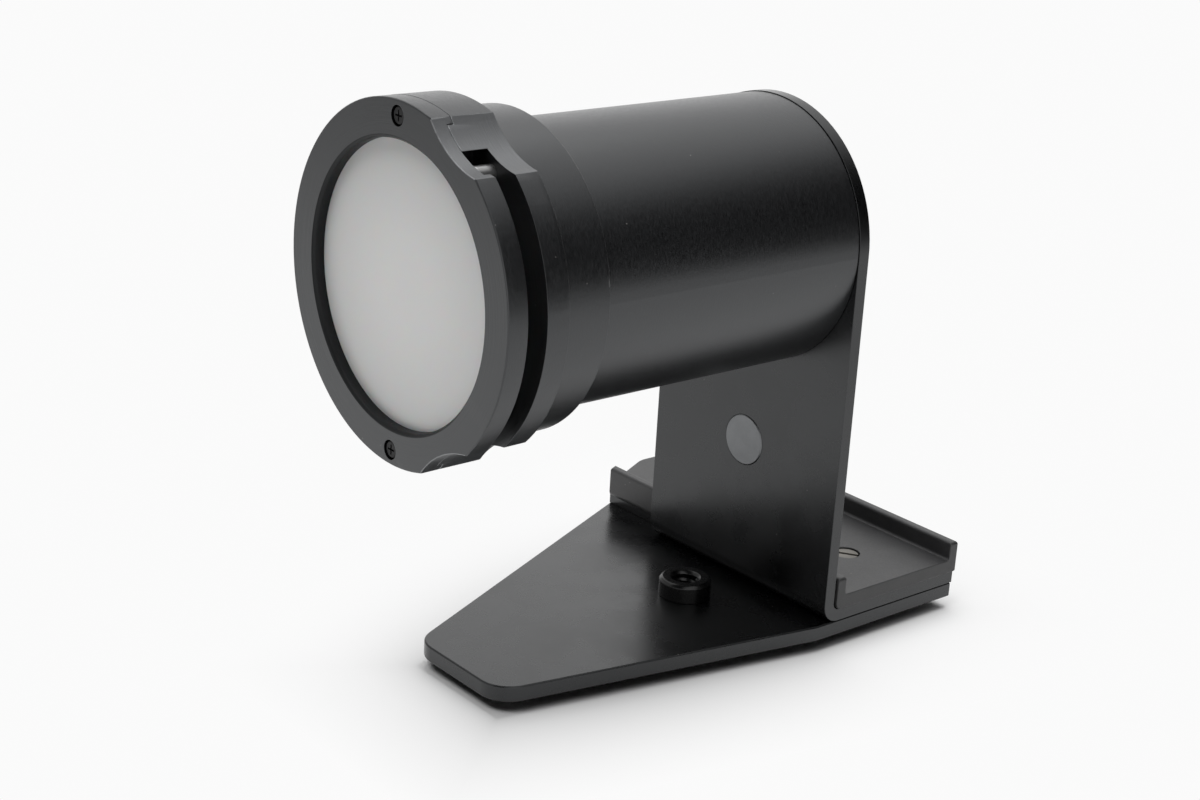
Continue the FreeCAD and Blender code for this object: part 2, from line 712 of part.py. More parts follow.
def make_bracket():
    body = new_body("bent_bracket")
    bend_angle(body)
    shelf = add_sketch(body, "shelf", "XY_Plane", BASE_TOP)
    draw_outline(shelf, [
        (-UPRIGHT_HALF, SHELF_FRONT),
        (-UPRIGHT_HALF, SHELF_BACK),
        (-size("heel_left"), SHELF_BACK),
        (-size("heel_left"), size("left_kink")),
        (slant_left(SHELF_FRONT), SHELF_FRONT),
    ])
    round_left_side(body, pad(body, shelf, size("sheet_thickness")), SHELF_BACK)
    head = add_sketch(body, "head", "XZ_Plane", -size("upright_front"))
    draw_circle(head, 0, size("axis_height"), UPRIGHT_HALF)
    pad(body, head, size("sheet_thickness"), reverse=True)
    through = add_sketch(body, "light_hole", "XZ_Plane")
    draw_circle(through, 0, size("axis_height"), size("light_hole"))
    draw_circles(through, on_upright(tube_screw_spots()), size("screw_shank") + size("part_gap"))
    cut_through(body, through)
    sinks = add_sketch(body, "screw_sinks", "XZ_Plane", -UPRIGHT_BACK)
    draw_circles(sinks, on_upright(tube_screw_spots()), size("screw_head") + size("part_gap"))
    pocket(body, sinks, size("screw_head_height") + 2 * size("part_gap"), reverse=True)
    badge = add_sketch(body, "badge", "XZ_Plane", -size("upright_front"))
    draw_circle(badge, 0, size("axis_height") - size("badge_drop"), size("badge_radius") + size("fit_gap"))
    pocket(body, badge, size("badge_pocket"))
    down = add_sketch(body, "foot_holes", "XY_Plane")
    draw_circle(down, 0, PLATE_MIDDLE, size("camera_screw_thread") + size("camera_screw_play"))
    draw_circles(down, plate_screw_spots(), size("plate_screw_shank"))
    draw_circles(down, base_screw_spots(), size("screw_shank"))
    pocket(body, down, SHELF_TOP + size("part_gap"), reverse=True)


def make_badge():
    body = new_body(
        "blank_disc", 0, size("upright_front") + size("badge_pocket"),
        size("axis_height") - size("badge_drop"), TO_FRONT)
    disc = add_sketch(body, "disc", "XY_Plane")
    draw_circle(disc, 0, 0, size("badge_radius"))
    height = size("badge_pocket") + size("badge_stand")
    face = pad(body, disc, height)
    soften(body, face, lambda spot: near(spot.z, height), size("badge_stand"), "Chamfer")


# ---------------------------------------------------------------- camera plate

def plate_screw_spots():
    return [
        (size("plate_screw_right"), PLATE_MIDDLE),
        (-size("plate_screw_left"), PLATE_MIDDLE),
    ]


def make_camera_plate():
    body = new_body("camera_plate")
    right = UPRIGHT_HALF + size("plate_overhang")
    left = size("plate_inset") - size("heel_left")
    channel_front = PLATE_FRONT + size("plate_lip")
    channel_back = PLATE_BACK - size("plate_lip")
    side = add_sketch(body, "side", "YZ_Plane", right)
    draw_outline(side, [
        (PLATE_FRONT, SHELF_TOP), (PLATE_BACK, SHELF_TOP), (PLATE_BACK, LIP_TOP),
        (channel_back, LIP_TOP), (channel_back, FLOOR_TOP), (channel_front, FLOOR_TOP),
        (channel_front, LIP_TOP), (PLATE_FRONT, LIP_TOP),
    ])
    plate = pad(body, side, right - left, reverse=True)
    plate = soften(
        body, plate, lambda spot: near(spot.y, PLATE_FRONT) and near(spot.z, SHELF_TOP),
        size("bend_inner"))
    plate = soften(
        body, plate,
        lambda spot: near(spot.z, FLOOR_TOP) and (
            near(spot.y, channel_front) or near(spot.y, channel_back)),
        size("plate_round"))
    slant = slant_left(PLATE_FRONT) + size("plate_slant_inset")
    outside = 2 * left
    corner = add_sketch(body, "corner", "XY_Plane")
    draw_outline(corner, [
        (slant, PLATE_FRONT), (left, size("left_kink")), (outside, size("left_kink")),
        (outside, 0), (slant, 0),
    ])
    plate = cut_through(body, corner)
    plate = soften(body, plate, at_corner(left, size("left_kink")), size("left_kink_radius"))
    plate = soften(body, plate, at_corner(left, PLATE_BACK), size("heel_corner"))
    plate = soften(
        body, plate, lambda spot: near(spot.z, LIP_TOP) and spot.y < PLATE_MIDDLE.value,
        size("plate_round"))
    soften(
        body, plate, lambda spot: near(spot.z, LIP_TOP) and spot.y > PLATE_MIDDLE.value,
        size("plate_round"))
    holes = add_sketch(body, "holes", "XY_Plane")
    draw_circle(holes, 0, PLATE_MIDDLE, size("camera_screw_thread") + size("camera_screw_play"))
    draw_circles(holes, plate_screw_spots(), size("plate_screw_shank") + size("part_gap"))
    cut_through(body, holes)
    pockets = add_sketch(body, "pockets", "XY_Plane", FLOOR_TOP)
    draw_circles(pockets, plate_screw_spots(), size("plate_screw_head") + size("plate_screw_play"))
    pocket(body, pockets, size("plate_screw_head_height") + size("plate_screw_play"))
    clip_pocket = add_sketch(body, "clip_pocket", "XY_Plane", FLOOR_TOP)
    draw_circle(clip_pocket, 0, PLATE_MIDDLE, clip_radius() + size("camera_head_play"))
    pocket(body, clip_pocket, 2 * size("clip_thickness"))


def make_camera_plate_screws():
    top = FLOOR_TOP - size("plate_screw_play")
    shank = top - size("plate_screw_head_height") - BASE_TOP - size("part_gap")
    model = cheese_screw(
        "camera_plate_screw", size("plate_screw_head"), size("plate_screw_head_height"),
        size("plate_screw_shank"), shank)
    half_long = size("plate_screw_head") + size("plate_screw_play")
    cut_slot(model, half_long, size("plate_screw_slot"), size("plate_screw_slot_depth"))
    slot_turns = [FreeCAD.Rotation(FreeCAD.Vector(0, 0, 1), angle) for angle in (35, 80)]
    group("camera_plate_screws", model, [
        (x, y, top, slot_turn) for (x, y), slot_turn in zip(plate_screw_spots(), slot_turns)
    ])


def clip_radius():
    return size("camera_screw_thread") - size("clip_groove") + size("clip_width")


def make_camera_screw():
    body = new_body("camera_screw", 0, PLATE_MIDDLE, 0)
    thread = size("camera_screw_thread")
    neck = thread - size("clip_groove")
    head_top = BASE_TOP - size("part_gap")
    head_bottom = head_top - size("camera_screw_head_height")
    tip = FLOOR_TOP + size("camera_screw_stand")
    turn(body, [
        (0, head_bottom), (size("camera_screw_head"), head_bottom),
        (size("camera_screw_head"), head_top), (thread, head_top),
        (thread, CLIP_BOTTOM), (neck, CLIP_BOTTOM),
        (neck, CLIP_BOTTOM + size("clip_thickness")), (thread, CLIP_BOTTOM + size("clip_thickness")),
        (thread, tip - size("camera_screw_point")),
        (thread - size("camera_screw_point"), tip), (0, tip),
    ])
    slot = add_sketch(body, "slot", "XY_Plane", head_bottom)
    half_long = size("camera_screw_head") + size("camera_head_play")
    draw_block(slot, -half_long, half_long, -size("coin_slot"), size("coin_slot"))
    pocket(body, slot, size("coin_slot_depth"), reverse=True)


def make_screw_clip():
    """The open ring that keeps the camera screw in its hole."""
    body = new_body("camera_screw_clip", 0, PLATE_MIDDLE, CLIP_BOTTOM)
    ring = add_sketch(body, "ring", "XY_Plane")
    draw_circle(ring, 0, 0, clip_radius())
    draw_circle(ring, 0, 0, clip_radius() - size("clip_width"))
    pad(body, ring, size("clip_thickness"))
    mouth = add_sketch(body, "mouth", "XY_Plane")
    draw_block(mouth, 0, 2 * clip_radius(), -size("clip_mouth"), size("clip_mouth"))
    cut_through(body, mouth)


# ---------------------------------------------------------------- tube

def make_tube():
    start = COLLAR_SEAT + size("fit_gap")
    flange_bore = size("light_hole") + size("tube_flange_step")
    body, tube = turned_body("light_tube", [
        (TUBE_BORE, start), (size("tube_radius"), start),
        (size("tube_radius"), UPRIGHT_DEPTH), (flange_bore, UPRIGHT_DEPTH),
        (flange_bore, CELL_BACK), (TUBE_BORE, CELL_BACK),
    ])
    soften(body, tube, at_rim(size("tube_radius"), UPRIGHT_DEPTH), size("edge_break"))
    holes = add_sketch(body, "screw_holes", "XY_Plane", -UPRIGHT_DEPTH)
    draw_circles(holes, tube_screw_spots(), size("screw_shank"))
    pocket(body, holes, size("tube_flange") + size("part_gap"), reverse=True)


def make_tube_screws():
    top = UPRIGHT_BACK - size("part_gap")
    length = top - size("upright_front") + size("tube_flange") - size("tube_screw_end")
    model = countersunk_screw("tube_screw", length)
    group("tube_screws", model, [
        (x, top, size("axis_height") + up, TO_BACK) for x, up in tube_screw_spots()
    ])


def make_baffle():
    rim = TUBE_BORE - size("fit_gap")
    hole = rim - size("baffle_width")
    back = size("baffle_depth") + size("baffle_thickness")
    turned_body("tube_baffle", [
        (hole, size("baffle_depth")), (rim, size("baffle_depth")), (rim, back),
        (hole + size("baffle_bevel"), back), (hole, back - size("baffle_bevel")),
    ])


def make_collar():
    groove_front = GROOVE_MIDDLE - size("spigot_groove_width") / 2
    groove_back = GROOVE_MIDDLE + size("spigot_groove_width") / 2
    body, collar = turned_body("tube_collar", [
        (COLLAR_BORE, SPIGOT_FRONT), (size("spigot_radius"), SPIGOT_FRONT),
        (size("spigot_radius"), groove_front), (SPIGOT_GROOVE, groove_front),
        (SPIGOT_GROOVE, groove_back), (size("spigot_radius"), groove_back),
        (size("spigot_radius"), COLLAR_FRONT), (COLLAR, COLLAR_FRONT),
        (COLLAR, COLLAR_END), (TUBE_SEAT, COLLAR_END),
        (TUBE_SEAT, COLLAR_SEAT), (COLLAR_BORE, COLLAR_SEAT),
    ])
    soften(body, collar, at_rim(COLLAR, COLLAR_END), size("edge_break"))
    hole = add_sketch(body, "grub_hole", "XZ_Plane")
    draw_circle(hole, 0, -(COLLAR_FRONT + size("collar_grub_setback")), size("collar_grub_radius"))
    pocket(body, hole, COLLAR + size("part_gap"), reverse=True)


def make_collar_grub():
    outside = COLLAR - size("part_gap")
    body = new_body(
        "collar_grub_screw", 0, FRONT + COLLAR_FRONT + size("collar_grub_setback"),
        size("axis_height") - outside, TO_FLOOR)
    grub_screw(body, size("collar_grub_radius") - size("fit_gap"), outside - TUBE_SEAT)


# ---------------------------------------------------------------- lens

def sag(curve, radius):
    """How far a sphere falls back from its vertex at a radius."""
    return curve - root(curve * curve - radius * radius)


def ball_part(label, curve, centre):
    """A sphere centred on the tube axis at a depth."""
    ball = doc.addObject("Part::Sphere", label)
    bind(ball, "Radius", curve)
    stand_at(ball, 0, FRONT + centre, size("axis_height"))
    return ball


def glass_blank(label, start, end):
    blank = doc.addObject("Part::Cylinder", label)
    bind(blank, "Radius", size("lens_radius"))
    bind(blank, "Height", end - start)
    stand_at(blank, 0, FRONT + end, size("axis_height"), TO_FRONT)
    return blank


def make_lens():
    front_curve, middle_curve = size("lens_front_curve"), size("lens_middle_curve")
    crown = doc.addObject("Part::MultiCommon", "lens_crown")
    crown.Shapes = [
        glass_blank("crown_blank", CROWN_FRONT, CROWN_BACK),
        ball_part("crown_front", front_curve, CROWN_FRONT + front_curve),
        ball_part("crown_back", middle_curve, CROWN_BACK - middle_curve),
    ]
    NODES.append(crown)
    edge = CROWN_BACK - sag(middle_curve, size("lens_radius"))
    flint = doc.addObject("Part::Cut", "lens_flint")
    flint.Base = glass_blank("flint_blank", edge + size("part_gap"), LENS_EDGE)
    flint.Tool = ball_part(
        "flint_front", middle_curve, CROWN_BACK - middle_curve + size("fit_gap"))
    NODES.append(flint)


def make_lens_cell():
    bore = size("lens_radius") + size("fit_gap")
    outside = TUBE_BORE - size("part_gap")
    front = CELL_BACK - size("cell_length")
    turned_body("lens_cell", [
        (bore, front), (outside, front), (outside, CELL_BACK),
        (LENS_SEAT, CELL_BACK), (LENS_SEAT, LENS_EDGE), (bore, LENS_EDGE),
    ])


def make_lens_ring():
    back = CROWN_FRONT + sag(size("lens_front_curve"), LENS_SEAT) - size("part_gap")
    front = back - size("lens_ring")
    body, _ = turned_body("lens_retaining_ring", [
        (LENS_SEAT, front), (size("lens_radius"), front),
        (size("lens_radius"), back), (LENS_SEAT, back),
    ])
    slots = add_sketch(body, "key_slots", "XY_Plane", -front)
    reach = size("lens_radius") + size("part_gap")
    draw_block(slots, -reach, reach, -size("key_slot"), size("key_slot"))
    pocket(body, slots, size("key_slot_depth"))


# ---------------------------------------------------------------- slide head

def ring_screw_spots():
    circle = RING - size("ring_screw_edge")
    return [(0, circle), (0, -circle)]


def guide_spots():
    """The pins that guide the slide inside the slot's mouth."""
    reach = size("mouth_start") + size("guide_setback")
    height = CHANNEL + size("guide_radius")
    return [(reach, height), (reach, -height)]


def mask_screw_spots():
    across, up = size("mask_window") + size("mask_side") / 2, size("mask_screw_up")
    return [(across, up), (-across, up), (-across, -up), (across, -up)]


def spring_height():
    return (MASK_TALL + CHANNEL) / 2


def rivet_spots():
    reach = size("spring_flat") / 2 - size("spring_root")
    return [(reach, spring_height()), (reach, -spring_height())]


def head_grub_angles():
    return [180 - size("head_grub_angle"), size("head_grub_angle") + 180]


def cut_scallops(body):
    """The two finger scallops right of the axis."""
    sketch = add_sketch(body, "scallops", "XY_Plane")
    centre = RING - size("scallop_bite") + size("scallop_radius")
    for side in (1, -1):
        x, up = around(centre, side * size("scallop_angle"))
        draw_circle(sketch, x, up, size("scallop_radius"))
    return cut_through(body, sketch)


def make_front_ring():
    disc_back = size("diffuser_depth") + size("diffuser_thickness")
    snap_back = disc_back + size("snap_width") + 2 * size("fit_gap")
    snap_outer = DIFFUSER_SEAT + size("snap_groove")
    groove_floor = JOINT - size("groove_depth")
    body, ring = turned_body("front_ring", [
        (WINDOW + size("window_bevel"), 0), (RING - size("ring_chamfer"), 0),
        (RING, size("ring_chamfer")), (RING, JOINT),
        (GROOVE_OUTER, JOINT), (GROOVE_OUTER, groove_floor),
        (GROOVE_INNER, groove_floor), (GROOVE_INNER, JOINT),
        (DIFFUSER_SEAT, JOINT), (DIFFUSER_SEAT, snap_back),
        (snap_outer, snap_back), (snap_outer, disc_back),
        (DIFFUSER_SEAT, disc_back), (DIFFUSER_SEAT, size("diffuser_depth")),
        (WINDOW, size("diffuser_depth")), (WINDOW, size("window_bevel")),
    ])
    soften(body, ring, at_rim(RING, JOINT), size("joint_break"))
    cut_scallops(body)
    holes = add_sketch(body, "screw_holes", "XY_Plane")
    draw_circles(holes, ring_screw_spots(), size("ring_screw_shank") + size("part_gap"))
    cut_through(body, holes)
    pockets = add_sketch(body, "screw_pockets", "XY_Plane")
    draw_circles(pockets, ring_screw_spots(), size("ring_screw_head") + size("ring_screw_play"))
    pocket(body, pockets, size("ring_screw_head_height") + size("ring_screw_play"))


def make_stage_ring():
    body, blank = turned_body("stage_ring", [
        (0, JOINT), (GROOVE_INNER + size("part_gap"), JOINT),
        (GROOVE_INNER + size("part_gap"), STAGE_NOSE),
        (GROOVE_OUTER - size("part_gap"), STAGE_NOSE),
        (GROOVE_OUTER - size("part_gap"), JOINT), (RING, JOINT), (RING, STAGE_END),
        (size("spigot_radius") + size("fit_gap"), STAGE_END),
        (size("spigot_radius") + size("fit_gap"), WEB_BACK), (0, WEB_BACK),
    ])
    rims = soften(body, blank, at_rim(RING, JOINT), size("joint_break"))
    soften(body, rims, at_rim(RING, STAGE_END), size("edge_break"))
    cut_scallops(body)
    cut_slide_slot(body)
    window = add_sketch(body, "window", "XY_Plane")
    opening = size("mask_window") + size("window_play")
    draw_block(window, -opening, opening, -opening, opening)
    cut_through(body, window)
    seat = add_sketch(body, "mask_seat", "XY_Plane", -SLOT_BACK)
    wide, tall = MASK_WIDE + size("part_gap"), MASK_TALL + size("part_gap")
    draw_block(seat, -wide, wide, -tall, tall)
    pocket(body, seat, size("mask_thickness"))
    cut_stage_holes(body)


def cut_slide_slot(body):
    """The slide's channel from the left stop to the mouth, and the wider mouth."""
    depth = SLOT_BACK - STAGE_NOSE
    channel = add_sketch(body, "slide_channel", "XY_Plane", -STAGE_NOSE)
    draw_block(channel, -CHANNEL, size("mouth_start") + size("guide_radius"), -CHANNEL, CHANNEL)
    pocket(body, channel, depth)
    mouth = add_sketch(body, "slot_mouth", "XY_Plane", -STAGE_NOSE)
    draw_block(mouth, size("mouth_start"), RING + size("mouth_step"), -MOUTH, MOUTH)
    slot = pocket(body, mouth, depth)
    soften(
        body, slot,
        lambda spot: near(spot.x, size("mouth_start")) and near(abs(spot.y), MOUTH),
        size("guide_radius"))


def cut_stage_holes(body):
    """Threaded holes, pin seats and rivet holes in the stage ring."""
    screws = add_sketch(body, "ring_screw_holes", "XY_Plane", -STAGE_NOSE)
    draw_circles(screws, ring_screw_spots(), size("ring_screw_shank"))
    pocket(body, screws, size("ring_screw_length"))
    pins = add_sketch(body, "pin_seats", "XY_Plane", -SLOT_BACK)
    draw_circles(pins, guide_spots(), size("guide_radius"))
    pocket(body, pins, size("guide_seat"))
    small = add_sketch(body, "small_holes", "XY_Plane", -SLOT_BACK)
    draw_circles(small, mask_screw_spots(), size("mask_screw_shank"))
    draw_circles(small, rivet_spots(), size("rivet_radius"))
    pocket(body, small, size("web_thickness"))
    for number, angle in enumerate(head_grub_angles(), start=1):
        grub = body.newObject("PartDesign::SubtractiveCylinder", f"head_grub_hole_{number}")
        bind(grub, "Radius", size("head_grub_radius"))
        bind(grub, "Height", RING)
        outward = FreeCAD.Vector(*[amount.value for amount in around(1, angle)], 0)
        x, up = around(SPIGOT_GROOVE, angle)
        stand_at(grub, x, up, -GROOVE_MIDDLE, FreeCAD.Rotation(FreeCAD.Vector(0, 0, 1), outward))


def make_head_grubs():
    model = new_model("head_grub")
    grub_screw(model, size("head_grub_radius") - size("fit_gap") / 2, size("head_grub_length"))
    outside = SPIGOT_GROOVE + size("part_gap") + size("head_grub_length")
    places = []
    for angle in head_grub_angles():
        right, above = [amount.value for amount in around(1, angle)]
        outward = FreeCAD.Rotation(FreeCAD.Vector(0, 0, 1), FreeCAD.Vector(right, 0, above))
        x, up = around(outside, angle)
        places.append((x, FRONT + GROOVE_MIDDLE, size("axis_height") + up, outward))
    group("head_grub_screws", model, places)


def make_diffuser():
    front = size("diffuser_depth")
    back = front + size("diffuser_thickness")
    radius = DIFFUSER_SEAT - size("diffuser_play")
    turned_body("opal_diffuser", [(0, front), (radius, front), (radius, back), (0, back)])
    ring_front = back + size("fit_gap")
    ring_back = ring_front + size("snap_width")
    outer = DIFFUSER_SEAT + size("snap_groove") - size("part_gap")
    inner = outer - size("snap_height")
    body, _ = turned_body("diffuser_snap_ring", [
        (inner, ring_front), (outer, ring_front), (outer, ring_back), (inner, ring_back),
    ])
    opening = add_sketch(body, "opening", "XY_Plane")
    draw_block(opening, -RING, 0, -size("snap_opening"), size("snap_opening"))
    cut_through(body, opening)


def make_ring_screws():
    model = cheese_screw(
        "ring_screw", size("ring_screw_head"), size("ring_screw_head_height"),
        size("ring_screw_shank"), size("ring_screw_length"))
    cut_cross(model, size("ring_drive_reach"), size("ring_drive_slot"), size("ring_drive_depth"))
    group("ring_screws", model, place_on_axis(size("ring_screw_play"), ring_screw_spots()))


def make_guide_pins():
    model = new_model("guide_pin")
    radius, chamfer = size("guide_radius"), size("guide_break")
    length = size("slot_width") - size("part_gap") + size("guide_seat")
    turn(model, [
        (0, 0), (radius - chamfer, 0), (radius, -chamfer), (radius, -length), (0, -length),
    ])
    group("guide_pins", model, place_on_axis(JOINT + size("part_gap"), guide_spots()))


def make_mask():
    body = optical_body("slide_mask")
    plate = add_sketch(body, "plate", "XY_Plane", -SLOT_BACK)
    draw_block(plate, -MASK_WIDE, MASK_WIDE, -MASK_TALL, MASK_TALL)
    inner = size("mask_window")
    draw_block(plate, -inner, inner, -inner, inner)
    pad(body, plate, size("mask_thickness"), reverse=True)
    holes = add_sketch(body, "screw_holes", "XY_Plane")
    draw_circles(holes, mask_screw_spots(), size("mask_screw_head") + size("fit_gap"))
    cut_through(body, holes)


def make_mask_screws():
    model = cheese_screw(
        "mask_screw", size("mask_screw_head"), size("mask_thickness"),
        size("mask_screw_shank"), size("mask_screw_length"))
    half_long = size("mask_screw_head") + size("fit_gap")
    cut_slot(model, half_long, size("mask_drive_slot"), size("mask_drive_depth"))
    group("mask_screws", model, place_on_axis(SLOT_BACK, mask_screw_spots()))


def make_leaf_spring(label, side):
    """A bowed strip, riveted at its left end to the slot's back wall."""
    body = optical_body(label)
    width = CHANNEL - MASK_TALL - 2 * size("spring_margin")
    middle = side * spring_height()
    thick = size("spring_thickness")
    wall = size("spring_wall_gap") - SLOT_BACK
    top = wall + thick
    left = -size("spring_root")
    bend = left + size("spring_flat")
    crest = bend + size("spring_rise")
    tip = crest + size("spring_tip")
    lift, drop = size("spring_lift"), size("spring_tip_drop")
    strip = add_sketch(body, "side_view", "XZ_Plane", width / 2 - middle)
    draw_outline(strip, [
        (left, wall), (bend, wall), (crest, wall + lift), (tip, wall + lift - drop),
        (tip, top + lift - drop), (crest, top + lift), (bend, top), (left, top),
    ])
    blade = pad(body, strip, width, reverse=True)
    soften(body, blade, lambda spot: near(spot.x, crest), size("spring_curve"))
    hole = add_sketch(body, "rivet_hole", "XY_Plane")
    draw_circle(hole, bend - size("spring_flat") / 2, middle, size("rivet_radius") + size("part_gap"))
    cut_through(body, hole)


def make_spring_rivets():
    model = new_model("spring_rivet")
    head, chamfer = size("rivet_head"), size("rivet_head_break")
    under_head = size("rivet_head_height")
    rise = size("spring_wall_gap") + size("spring_thickness") + size("part_gap") + under_head
    end = rise + size("web_thickness") - size("rivet_end")
    turn(model, [
        (0, 0), (head - chamfer, 0), (head, -chamfer), (head, -under_head),
        (size("rivet_radius"), -under_head), (size("rivet_radius"), -end), (0, -end),
    ])
    group("spring_rivets", model, place_on_axis(SLOT_BACK - rise, rivet_spots()))


# ---------------------------------------------------------------- build

make_base_plate()
make_base_screws()
make_rubber_feet()
make_tripod_bush()
make_bracket()
make_badge()
make_camera_plate()
make_camera_plate_screws()
make_camera_screw()
make_screw_clip()
make_tube()
make_tube_screws()
make_baffle()
make_collar()
make_collar_grub()
make_lens()
make_lens_cell()
make_lens_ring()
make_front_ring()
make_stage_ring()
make_head_grubs()
make_diffuser()
make_ring_screws()
make_guide_pins()
make_mask()
make_mask_screws()
make_leaf_spring("upper_leaf_spring", 1)
make_leaf_spring("lower_leaf_spring", -1)
make_spring_rivets()
doc.recompute()


def check_model():
    """Every object is sound, and every cut takes something away."""
    for thing in doc.Objects:
        if "Invalid" in thing.State or "Error" in thing.State:
            raise RuntimeError(f"{thing.Label} did not build: {thing.State}")
        if "Pocket" in thing.TypeId or "Subtractive" in thing.TypeId:
            if thing.Shape.Volume > thing.BaseFeature.Shape.Volume - 1e-6:
                raise RuntimeError(f"{thing.Label} cuts nothing")
    for node in NODES:
        if node.Shape.isNull() or not node.Shape.isValid():
            raise RuntimeError(f"{node.Label} has no sound shape")


check_model()
os.makedirs("parts", exist_ok=True)
for node in NODES:
    node.Shape.exportStep(os.path.join("parts", f"{node.Label}.step"))
    print(f"{node.Label}: {len(node.Shape.Solids)} solids, {node.Shape.Volume:.1f} mm3")
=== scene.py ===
import json
import math

import bmesh
import bpy
from mathutils import Matrix, Vector

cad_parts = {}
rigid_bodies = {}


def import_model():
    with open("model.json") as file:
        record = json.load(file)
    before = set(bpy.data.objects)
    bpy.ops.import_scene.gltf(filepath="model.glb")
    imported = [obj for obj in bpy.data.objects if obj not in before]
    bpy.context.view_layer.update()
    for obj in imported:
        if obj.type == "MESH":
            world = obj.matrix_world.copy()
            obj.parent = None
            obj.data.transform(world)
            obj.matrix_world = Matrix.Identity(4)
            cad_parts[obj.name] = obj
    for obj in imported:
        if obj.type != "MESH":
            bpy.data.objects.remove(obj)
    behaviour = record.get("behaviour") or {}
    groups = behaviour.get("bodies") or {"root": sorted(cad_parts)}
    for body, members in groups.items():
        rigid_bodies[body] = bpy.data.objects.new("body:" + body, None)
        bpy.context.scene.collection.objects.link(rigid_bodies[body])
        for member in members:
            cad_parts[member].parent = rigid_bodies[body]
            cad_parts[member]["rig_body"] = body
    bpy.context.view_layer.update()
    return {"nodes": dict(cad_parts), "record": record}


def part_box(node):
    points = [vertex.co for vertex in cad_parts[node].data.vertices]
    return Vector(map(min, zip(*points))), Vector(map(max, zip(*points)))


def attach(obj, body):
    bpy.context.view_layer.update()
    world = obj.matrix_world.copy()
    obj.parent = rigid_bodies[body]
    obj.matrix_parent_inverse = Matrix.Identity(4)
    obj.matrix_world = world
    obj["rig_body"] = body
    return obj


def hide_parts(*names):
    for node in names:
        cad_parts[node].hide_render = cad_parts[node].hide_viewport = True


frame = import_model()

MM = 0.001
# The tube's axis runs along Y at this height.
AXIS_HEIGHT = 97.8 * MM
# The feet stand on the floor at this height.
FLOOR = -3.0 * MM
# Plain white takes over from the floor over this distance outside the base plate, and the power
# puts most of the change close to the plate.
FADE_WIDTH = 40.0 * MM
FADE_POWER = 0.4
# How bright the plain background is where it is seen.
WHITE = 0.96
# The outline of the base plate, anticlockwise from the front left corner.
FOOTPRINT = [
    (-0.0152, -0.0713), (0.0164, -0.0713), (0.03285, 0.015), (0.03285, 0.0638), (-0.0647, 0.0638),
    (-0.0647, 0.0399)]
# The two finger scallops are round cuts with this radius, centred beside the slide head.
SCALLOP_RADIUS = 23.0 * MM
SCALLOP_ACROSS = 30.07 * MM
SCALLOP_UP = 52.09 * MM
# Outside radii of the slide head and the tube's collar, and the plane where the head's rings meet.
HEAD_RADIUS = 40.15 * MM
COLLAR_RADIUS = 36.4 * MM
HEAD_JOINT = -86.0 * MM
# The walls round the diffuser lie within this radius.
WINDOW_RADIUS = 34.0 * MM
# The ring screws stand this far above and below the tube's axis, in bores within this radius.
RING_SCREW_UP = 36.75 * MM
SCREW_BORE = 2.6 * MM
# A thread's pitch, and how far a thread starts inside the wall that it stands on.
QUARTER_INCH_PITCH = 1.27 * MM
OVERLAP = 0.05 * MM
# Points this close to a wall, or to a flat face, lie on it.
TOUCH = 0.05 * MM
FLAT = 0.02 * MM
# Points this close together are one point: on a copy of a CAD mesh, and on a new mesh.
WELD = 0.002 * MM
MERGE = 0.0005 * MM
# Edges shorter than this are dissolved before the rings and the camera plate are rounded.
LEAST_EDGE = 0.06 * MM
# Radius of the plain edges of the rings.
RING_ROUND = 0.08 * MM
# Where the rings' extra materials stand among their materials, after the slot's own: the milled finish, a
# painted highlight along chosen scallop edges, painted shade on the walls of the screw bores, and the
# window walls.
MILLED, EDGE_HIGHLIGHT, RECESS_SHADE, WALL = 1, 2, 3, 4
# Worn edges and specks of dust on the black finishes.
WORN = (0.09, 0.095, 0.1, 1.0)
WORN_STEEL = (0.12, 0.12, 0.125, 1.0)
DUST = (0.3, 0.29, 0.28, 1.0)


# ---------------------------------------------------------------- node trees

class Tree:
    """A node tree, with short calls that add nodes and join them."""

    def __init__(self, tree):
        self.nodes = tree.nodes
        self.links = tree.links

    def feed(self, socket, value):
        if isinstance(value, bpy.types.NodeSocket):
            self.links.new(value, socket)
        else:
            socket.default_value = value

    def add(self, kind, inputs=None, **settings):
        node = self.nodes.new(kind)
        for name, value in settings.items():
            setattr(node, name, value)
        for name, value in (inputs or {}).items():
            self.feed(node.inputs[name], value)
        return node

    def math(self, operation, *values, clamp=False):
        node = self.add("ShaderNodeMath", operation=operation, use_clamp=clamp)
        for socket, value in zip(node.inputs, values):
            self.feed(socket, value)
        return node.outputs[0]

    def span(self, value, low, high, to_low=0.0, to_high=1.0, smooth=False):
        """Map a value from one span to another, held at its ends."""
        node = self.add("ShaderNodeMapRange", {
            "Value": value, "From Min": low, "From Max": high,
            "To Min": to_low, "To Max": to_high})
        node.interpolation_type = "SMOOTHSTEP" if smooth else "LINEAR"
        return node.outputs[0]

    def blend(self, share, first, second):
        """Mix two colours."""
        node = self.add("ShaderNodeMix", data_type="RGBA")
        self.feed(node.inputs[0], share)
        self.feed(node.inputs[6], first)
        self.feed(node.inputs[7], second)
        return node.outputs[2]

    def noise(self, vector, scale, detail=2.0, roughness=0.5):
        return self.add("ShaderNodeTexNoise", {
            "Vector": vector, "Scale": scale, "Detail": detail, "Roughness": roughness,
        }).outputs[0]

    def object_place(self):
        return self.add("ShaderNodeTexCoord").outputs["Object"]

    def seen(self):
        """1 where the camera, a mirroring surface or a clear one looks, else 0."""
        rays = self.add("ShaderNodeLightPath").outputs
        return self.math("MAXIMUM", rays["Is Camera Ray"], self.math(
            "MAXIMUM", rays["Is Glossy Ray"], rays["Is Transmission Ray"]))


